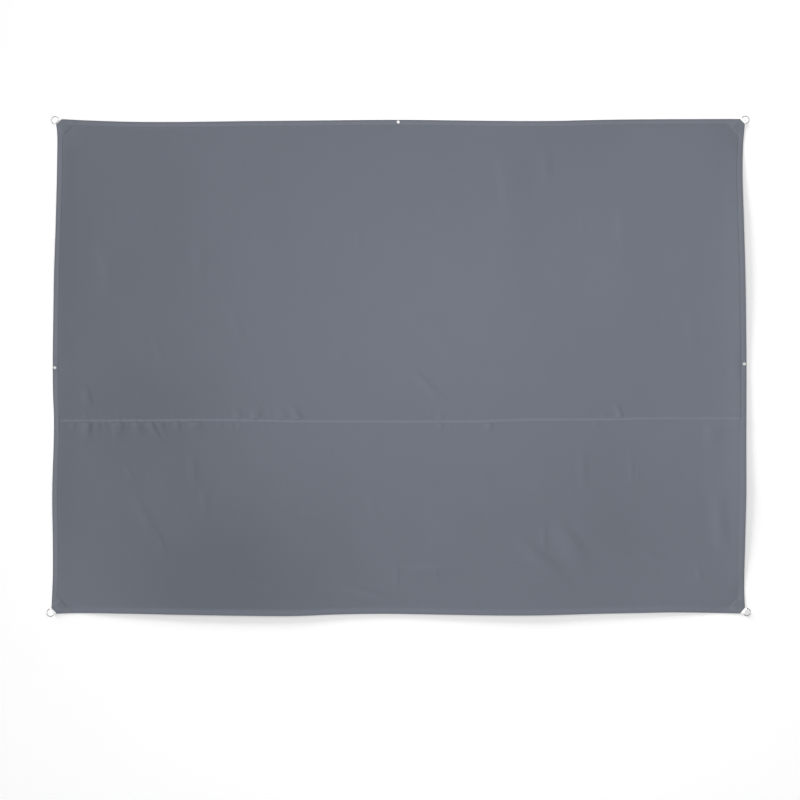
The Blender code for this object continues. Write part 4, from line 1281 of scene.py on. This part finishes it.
def bottom_hem_runs():
    x = HALF_LENGTH - PATCH_LEG
    deep_y = HALF_WIDTH - HEM_STITCH
    return [((-x, -deep_y), (x, -deep_y), lambda x, y: lower_layer(x, y)[1])]


def strip_runs():
    """Stitches along the top and side hems, from patch to patch."""
    x = HALF_LENGTH - PATCH_LEG
    y = HALF_WIDTH - PATCH_LEG
    deep_x = HALF_LENGTH - HEM_STITCH
    deep_y = HALF_WIDTH - HEM_STITCH
    return [
        ((-x, deep_y), (x, deep_y), strip_top),
        ((-deep_x, -y), (-deep_x, y), strip_top),
        ((deep_x, -y), (deep_x, y), strip_top),
    ]


def seam_runs():
    side = PANEL_SIDE - SEAM_STITCH_END
    return [
        ((-side, SEAM_Y + place), (side, SEAM_Y + place), lambda x, y: upper_layer(x, y)[1])
        for place in SEAM_STITCHES
    ]


def patch_runs(corner):
    """Stitches round a patch, and the box that holds the webbing's tail."""

    def on_cloth(deep, across):
        return corner_point(corner, (deep + across) / math.sqrt(2), (deep - across) / math.sqrt(2))

    def top(x, y):
        return patch_top(corner, x, y)

    inner = PATCH_DEEPEST - PATCH_LONG_STITCH
    wide = inner - PATCH_STITCH * math.sqrt(2)
    start = (corner.cut_x + corner.cut_y) / math.sqrt(8) + PATCH_STITCH
    narrow = start - PATCH_STITCH * math.sqrt(2)
    box, tail = TAIL_BOX_HALF, start + TAIL_BOX_LENGTH
    corners = [
        ((inner, -wide), (inner, wide)),
        ((inner, -wide), (start, -narrow)),
        ((inner, wide), (start, narrow)),
        ((start, -narrow), (start, narrow)),
        ((start, -box), (tail, -box)),
        ((start, box), (tail, box)),
        ((tail, -box), (tail, box)),
        ((start, -box), (tail, box)),
        ((start, box), (tail, -box)),
    ]
    return [(on_cloth(*start), on_cloth(*stop), top) for start, stop in corners]


# Finishes


class Value:
    """A node's output. Arithmetic on it adds Math nodes."""

    def __init__(self, shader, socket):
        self.shader = shader
        self.socket = socket

    def maths(self, operation, *values):
        return self.shader.add("Math", {"operation": operation}, dict(enumerate(values)))

    def __add__(self, other):
        return self.maths("ADD", self, other)

    def __sub__(self, other):
        return self.maths("SUBTRACT", self, other)

    def __rsub__(self, other):
        return self.maths("SUBTRACT", other, self)

    def __mul__(self, other):
        return self.maths("MULTIPLY", self, other)

    def __truediv__(self, other):
        return self.maths("DIVIDE", self, other)

    def __pow__(self, other):
        return self.maths("POWER", self, other)

    def sine(self):
        return self.maths("SINE", self)

    def size(self):
        return self.maths("ABSOLUTE", self)


class Shader:
    """The nodes of a new material, or of the world."""

    def __init__(self, owner, surface):
        owner.use_nodes = True
        self.owner = owner
        self.tree = owner.node_tree
        self.surface = self.tree.nodes[surface]

    def node(self, kind, settings=None, values=None):
        made = self.tree.nodes.new("ShaderNode" + kind)
        for name, value in (settings or {}).items():
            setattr(made, name, value)
        for name, value in (values or {}).items():
            self.set(made.inputs[name], value)
        return made

    def add(self, kind, settings=None, values=None, output=0):
        return Value(self, self.node(kind, settings, values).outputs[output])

    def set(self, socket, value):
        if isinstance(value, Value):
            self.tree.links.new(value.socket, socket)
        else:
            socket.default_value = value

    def finish(self, **values):
        """Sets the surface's sockets, named with _ for a space."""
        for name, value in values.items():
            self.set(self.surface.inputs[name.replace("_", " ")], value)
        return self.owner

    def place(self):
        """X and Y in the frame, as two values."""
        spot = self.add("TexCoord", output="Object")
        split = self.node("SeparateXYZ", values={0: spot})
        return Value(self, split.outputs[0]), Value(self, split.outputs[1])

    def weave_place(self):
        """The place on the cut cloth, as a vector and as two values."""
        spot = self.add("UVMap", {"uv_map": "weave"})
        split = self.node("SeparateXYZ", values={0: spot})
        return spot, Value(self, split.outputs[0]), Value(self, split.outputs[1])

    def noise(self, spot, stretch, scale, detail=2.0):
        """Noise from 0 to 1, drawn out along an axis by the stretch's small numbers."""
        moved = self.add("Mapping", values={"Vector": spot, "Scale": stretch})
        return self.add("TexNoise", values={"Vector": moved, "Scale": scale, "Detail": detail})

    def least(self, first, second):
        return first.maths("MINIMUM", first, second)

    def fade(self, value, start, stop):
        """Falls smoothly from 1 at start to 0 at stop."""
        return self.add(
            "MapRange",
            {"interpolation_type": "SMOOTHSTEP"},
            {"Value": value, "From Min": start, "From Max": stop, "To Min": 1.0, "To Max": 0.0},
        )

    def blend(self, share, first, second):
        """A colour between two, as share goes from 0 to 1."""
        return self.add(
            "Mix", {"data_type": "RGBA"}, {0: share, 6: (*first, 1.0), 7: (*second, 1.0)}, output=2
        )

    def bump(self, height, strength, distance):
        return self.add(
            "Bump", values={"Height": height, "Strength": strength, "Distance": distance}
        )


def material_shader(name):
    return Shader(bpy.data.materials.new(name), "Principled BSDF")


TONE_RANGE = 0.30  # how far the palest and deepest tones stand from the cloth's colour
# Painted light on the crests and painted shade in the hollows.
CREST_PAINTED_SHADING = 90.0
# Painted light: the seam's lap and the hems are painted paler; the first two fades below give where these
# bands end.
LAP_PAINTED_LIGHT = 0.17
HEM_PAINTED_LIGHT = 0.12
# Painted shade: the hems' folded rim is painted deeper, over the width that the last fade below gives.
RIM_PAINTED_SHADE = 0.20
LAP_PAINTED_LIGHT_FADE = (0.0062, 0.0078)
HEM_PAINTED_LIGHT_FADE = (0.020, 0.041)
RIM_PAINTED_SHADE_FADE = (0.0020, 0.0080)
WEBBING_RIB = 0.0016
WEBBING_THREAD = 0.0011
EYELET_ROUGHNESS = 0.34
RING_ROUGHNESS = 0.18


def scaled(colour, share):
    return [part * share for part in colour]


def painted_broad_lighting(shader):
    """Painted light and shade: how deep or pale the cloth is painted in broad places."""
    strength = bpy.context.scene.shade_sail_cloth.painted_lighting_strength
    x, y = shader.place()
    total = 0.0
    for tone in PAINTED_LIGHTING:
        far = (((x - tone.x) / tone.reach_x) ** 2 + ((y - tone.y) / tone.reach_y) ** 2) ** 0.5
        total = shader.fade(far, 0.0, 1.0) * (tone.amount * strength) + total
    return total


def painted_band_masks(shader, across, along):
    """Masks, from 0 to 1, of the seam's lap and of the hems, which are painted paler as painted light, and
    of the hems' folded rim, which is painted deeper as painted shade.
    """
    inside = shader.least(HALF_LENGTH - across.size(), HALF_WIDTH - along.size())
    hem = shader.fade(inside, *HEM_PAINTED_LIGHT_FADE)
    lap = shader.fade((along - SEAM_Y - (LAP_HIGH + LAP_LOW) / 2).size(), *LAP_PAINTED_LIGHT_FADE)
    return lap * (1 - hem), hem, shader.fade(inside, *RIM_PAINTED_SHADE_FADE)


def cloth_finish(name, colour):
    """Plain weave of slightly uneven threads, with light and shade painted into its colour: paler on its
    crests and deeper in its hollows, deeper and paler in broad places, paler over the seam's lap and the
    hems, and deeper along the hems' folded rim.
    """
    cloth = bpy.context.scene.shade_sail_cloth
    shader = material_shader(name)
    spot, across, along = shader.weave_place()
    warp = (across * (math.tau / cloth.weave)).sine()
    weft = (along * (math.tau / cloth.weave)).sine()
    long_slubs = shader.noise(spot, (1.0, 0.04, 1.0), 150.0, 3.0)
    wide_slubs = shader.noise(spot, (0.04, 1.0, 1.0), 140.0, 3.0)
    mottle = shader.noise(spot, (1.0, 1.0, 1.0), 6.0, 4.0)
    # The crest mark paints crests paler (painted light) and hollows deeper (painted shade).
    crest_painted_shading = shader.add("Attribute", {"attribute_name": "crest"}, output=2)
    lap, hem, rim = painted_band_masks(shader, across, along)
    # Painted light and shade: the broad places, lessened on the lap and hems; the lap and hems painted
    # paler; the folded rim painted deeper; crests painted paler and hollows deeper. The slubs and mottle
    # are the cloth's own uneven tone.
    tone = painted_broad_lighting(shader) * (1 - (lap + hem) * 0.6)
    tone = tone + lap * LAP_PAINTED_LIGHT + hem * HEM_PAINTED_LIGHT - rim * RIM_PAINTED_SHADE
    tone = tone + (long_slubs - 0.5) * 0.05 + (wide_slubs - 0.5) * 0.04
    tone = tone + (mottle - 0.5) * 0.05 + crest_painted_shading * CREST_PAINTED_SHADING
    share = tone / (2 * TONE_RANGE) + 0.5
    deep = scaled(colour, 1 - TONE_RANGE)
    pale = scaled(colour, 1 + TONE_RANGE)
    height = warp * weft * 0.5 + long_slubs * 0.8 + wide_slubs * 0.8
    return shader.finish(
        Base_Color=shader.blend(share, deep, pale),
        Roughness=(mottle - 0.5) * 0.1 + cloth.roughness,
        Sheen_Weight=0.08,
        Specular_IOR_Level=0.25,
        Normal=shader.bump(height, 0.35, 0.0002),
    )


def webbing_finish():
    """White ribbed webbing: threads run along it, crossed by ribs."""
    fittings = bpy.context.scene.shade_sail_fittings
    shader = material_shader("webbing")
    spot, along, across = shader.weave_place()
    ribs = (along * (math.tau / WEBBING_RIB)).sine()
    threads = (across * (math.tau / WEBBING_THREAD)).sine()
    uneven = shader.noise(spot, (1.0, 1.0, 1.0), 400.0, 2.0)
    colour = fittings.webbing_colour
    deep = scaled(colour, 0.90)
    share = ribs * 0.12 + threads * 0.10 + uneven * 0.5 + 0.35
    return shader.finish(
        Base_Color=shader.blend(share, deep, list(colour)),
        Roughness=uneven * 0.1 + 0.7,
        Sheen_Weight=0.15,
        Normal=shader.bump(ribs * threads + uneven, 0.5, 0.0003),
    )


def thread_finish(colour):
    shader = material_shader("thread")
    spot = shader.add("TexCoord", output="Object")
    twist = shader.noise(spot, (1.0, 1.0, 1.0), 900.0, 1.0)
    deep = scaled(colour, 0.85)
    pale = scaled(colour, 1.15)
    return shader.finish(
        Base_Color=shader.blend(twist, deep, pale),
        Roughness=twist * 0.15 + 0.55,
        Normal=shader.bump(twist, 0.3, 0.0002),
    )


def metal_finish(name, colour, roughness):
    """Drawn and polished metal, with faint scratches."""
    shader = material_shader(name)
    spot = shader.add("TexCoord", output="Object")
    scratches = shader.noise(spot, (1.0, 1.0, 0.2), 1400.0, 2.0)
    cloud = shader.noise(spot, (1.0, 1.0, 1.0), 160.0, 2.0)
    deep = scaled(colour, 0.88)
    return shader.finish(
        Base_Color=shader.blend(cloud, deep, list(colour)),
        Metallic=1.0,
        Roughness=scratches * 0.12 + roughness,
        Normal=shader.bump(scratches, 0.08, 0.0001),
    )


# The studio


def floor_finish(studio):
    shader = material_shader("floor")
    pale = (studio.floor, studio.floor, studio.floor, 1.0)
    return shader.finish(
        Base_Color=pale,
        Roughness=0.95,
        Specular_IOR_Level=0.1,
        Emission_Color=(1.0, 1.0, 1.0, 1.0),
        Emission_Strength=studio.glow,
    )


TOP_LIGHT = Vector((0.30, 0.30, 3.4))
TOP_LIGHT_SIZE = 1.6
PICTURE_MIDDLE = Vector((0.0086, -0.1712))
SENSOR = 36.0
FLOOR_SIZE = 60.0
FLOOR_LEVEL = -0.0004
HORIZON_TOP = 0.45
SIDE_HEADING = 178  # degrees, as are the next three
SIDE_WIDTH = 22
LOW_HEADING = 135
LOW_WIDTH = 15


def floor():
    studio = bpy.context.scene.shade_sail_studio
    deselect()
    bpy.ops.mesh.primitive_plane_add(size=FLOOR_SIZE, location=(0, 0, FLOOR_LEVEL))
    ground = bpy.context.object
    ground.name = "floor"
    bpy.ops.object.transform_apply(location=True)
    ground.data.materials.append(floor_finish(studio))
    return ground


def sun(heading, height, width, share):
    """A soft light from far off, that adds a share of full light to a level surface."""
    heading, width = math.radians(heading), math.radians(width)
    deselect()
    bpy.ops.object.light_add(type="SUN", location=(0, 0, 3))
    lamp = bpy.context.object
    flat = math.cos(height)
    way = Vector((math.cos(heading) * flat, math.sin(heading) * flat, math.sin(height)))
    lamp.rotation_euler = way.to_track_quat("Z", "Y").to_euler()
    lamp.data.energy = share * math.pi / math.sin(height)
    lamp.data.angle = width
    return lamp


def linked(name, things, state):
    """A collection that a light is linked to, or kept off."""
    group = bpy.data.collections.new(name)
    for thing in things:
        group.objects.link(thing)
    for link in group.collection_objects:
        link.light_linking.link_state = state
    return group


def lights(ground):
    """A side light that shows the folds, and a low one that casts the sail's soft shadow."""
    studio = bpy.context.scene.shade_sail_studio
    side = sun(SIDE_HEADING, studio.side_height, SIDE_WIDTH, studio.side_light)
    low = sun(LOW_HEADING, studio.low_height, LOW_WIDTH, studio.low_light)
    things = bpy.context.scene.objects
    straps = [thing for thing in things if thing.name.endswith("_strap")]
    wires = [thing for thing in things if thing.name.endswith("_wire")]
    side.light_linking.receiver_collection = linked("side reach", [ground], "EXCLUDE")
    low.light_linking.receiver_collection = linked("low reach", [ground] + straps, "INCLUDE")
    low.light_linking.blocker_collection = linked("low blockers", wires, "EXCLUDE")
    bpy.ops.object.light_add(type="AREA", location=TOP_LIGHT)
    top = bpy.context.object
    top.data.shape = "DISK"
    top.data.size = TOP_LIGHT_SIZE
    top.data.energy = studio.top_light
    top.visible_camera = False
    sky = Shader(bpy.data.worlds.new("studio"), "Background")
    way = sky.add("TexCoord")
    height = Value(sky, sky.node("SeparateXYZ", values={0: way}).outputs[2])
    rim = sky.fade(height.size(), 0.0, HORIZON_TOP)
    bpy.context.scene.world = sky.finish(
        Color=(1.0, 1.0, 1.0, 1.0), Strength=rim * (studio.horizon - studio.dome) + studio.dome
    )


def camera():
    """Straight above the sail, square to it."""
    studio = bpy.context.scene.shade_sail_studio
    deselect()
    place = PICTURE_MIDDLE + Vector(SHIFT[:2])
    bpy.ops.object.camera_add(location=(place.x, place.y, studio.camera_height), rotation=(0, 0, 0))
    eye = bpy.context.object
    eye.data.sensor_width = SENSOR
    eye.data.lens = SENSOR * studio.camera_height / studio.view_width
    bpy.context.scene.camera = eye
    bpy.context.scene.view_settings.view_transform = "Standard"


# Operators and panel


class SHADESAIL_OT_panels(Operator):
    """Lay the two lengths of cloth"""

    bl_idname = "shadesail.panels"
    bl_label = "Lay panels"

    def execute(self, context):
        material = cloth_finish("cloth", context.scene.shade_sail_cloth.colour)
        upper_panel(material)
        lower_panel(material)
        return {"FINISHED"}


class SHADESAIL_OT_hems(Operator):
    """Lay the top and side hems and fit their eyelets"""

    bl_idname = "shadesail.hems"
    bl_label = "Lay hems"

    def execute(self, context):
        fittings = context.scene.shade_sail_fittings
        material = cloth_finish("hem", context.scene.shade_sail_cloth.hem_colour)
        metal = metal_finish("eyelet", fittings.eyelet_colour, EYELET_ROUGHNESS)
        hems = {
            "top": top_hem(material),
            "left": side_hem("left_hem", -1, material),
            "right": side_hem("right_hem", 1, material),
        }
        for eyelet in EYELETS:
            pierce(hems[eyelet.name], eyelet)
            eyelet_piece(eyelet, metal)
        return {"FINISHED"}


class SHADESAIL_OT_corners(Operator):
    """Fit the rings, their webbing and the corner patches"""

    bl_idname = "shadesail.corners"
    bl_label = "Fit corners"

    def execute(self, context):
        fittings = context.scene.shade_sail_fittings
        cloth = cloth_finish("patch", context.scene.shade_sail_cloth.patch_colour)
        white = webbing_finish()
        steel = metal_finish("ring", fittings.steel_colour, RING_ROUGHNESS)
        for corner in CORNERS:
            ring(corner, steel)
            webbing(corner, white)
            patch(corner, cloth)
        return {"FINISHED"}


class SHADESAIL_OT_sewing(Operator):
    """Sew the seam, hems and patches"""

    bl_idname = "shadesail.sewing"
    bl_label = "Sew"

    def execute(self, context):
        material = thread_finish(context.scene.shade_sail_sewing.colour)
        sew("seam_stitches", seam_runs(), material, "cloth")
        sew("bottom_hem_stitches", bottom_hem_runs(), material, "cloth")
        sew("hem_stitches", strip_runs(), material, "hem")
        for corner in CORNERS:
            sew("patch_" + corner.name + "_stitches", patch_runs(corner), material, "patch")
        return {"FINISHED"}


class SHADESAIL_OT_studio(Operator):
    """Set the floor, the lights and the camera"""

    bl_idname = "shadesail.studio"
    bl_label = "Set studio"

    def execute(self, context):
        lights(floor())
        camera()
        return {"FINISHED"}


class SHADESAIL_PT_panel(Panel):
    """The sail's settings and steps"""

    bl_label = "Shade sail"
    bl_idname = "SHADESAIL_PT_panel"
    bl_space_type = "VIEW_3D"
    bl_region_type = "UI"
    bl_category = "Shade sail"

    def draw(self, context):
        for group, operators in STEPS:
            box = self.layout.box()
            settings = getattr(context.scene, group)
            for name in settings.__annotations__:
                box.prop(settings, name)
            for operator in operators:
                box.operator(operator.bl_idname)


STEPS = [
    ("shade_sail_cloth", [SHADESAIL_OT_panels]),
    ("shade_sail_fittings", [SHADESAIL_OT_hems, SHADESAIL_OT_corners]),
    ("shade_sail_sewing", [SHADESAIL_OT_sewing]),
    ("shade_sail_studio", [SHADESAIL_OT_studio]),
]
GROUPS = {
    "shade_sail_cloth": ShadeSailCloth,
    "shade_sail_sewing": ShadeSailSewing,
    "shade_sail_fittings": ShadeSailFittings,
    "shade_sail_studio": ShadeSailStudio,
}
OPERATORS = [operator for group, operators in STEPS for operator in operators]


def register():
    for made in [*GROUPS.values(), *OPERATORS, SHADESAIL_PT_panel]:
        bpy.utils.register_class(made)
    for name, group in GROUPS.items():
        setattr(bpy.types.Scene, name, PointerProperty(type=group))


def unregister():
    for name in GROUPS:
        delattr(bpy.types.Scene, name)
    for made in reversed([*GROUPS.values(), *OPERATORS, SHADESAIL_PT_panel]):
        bpy.utils.unregister_class(made)


def main():
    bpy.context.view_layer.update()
    register()
    bpy.ops.shadesail.panels()
    bpy.ops.shadesail.hems()
    bpy.ops.shadesail.corners()
    bpy.ops.shadesail.sewing()
    bpy.ops.shadesail.studio()


if __name__ == "__main__":
    main()
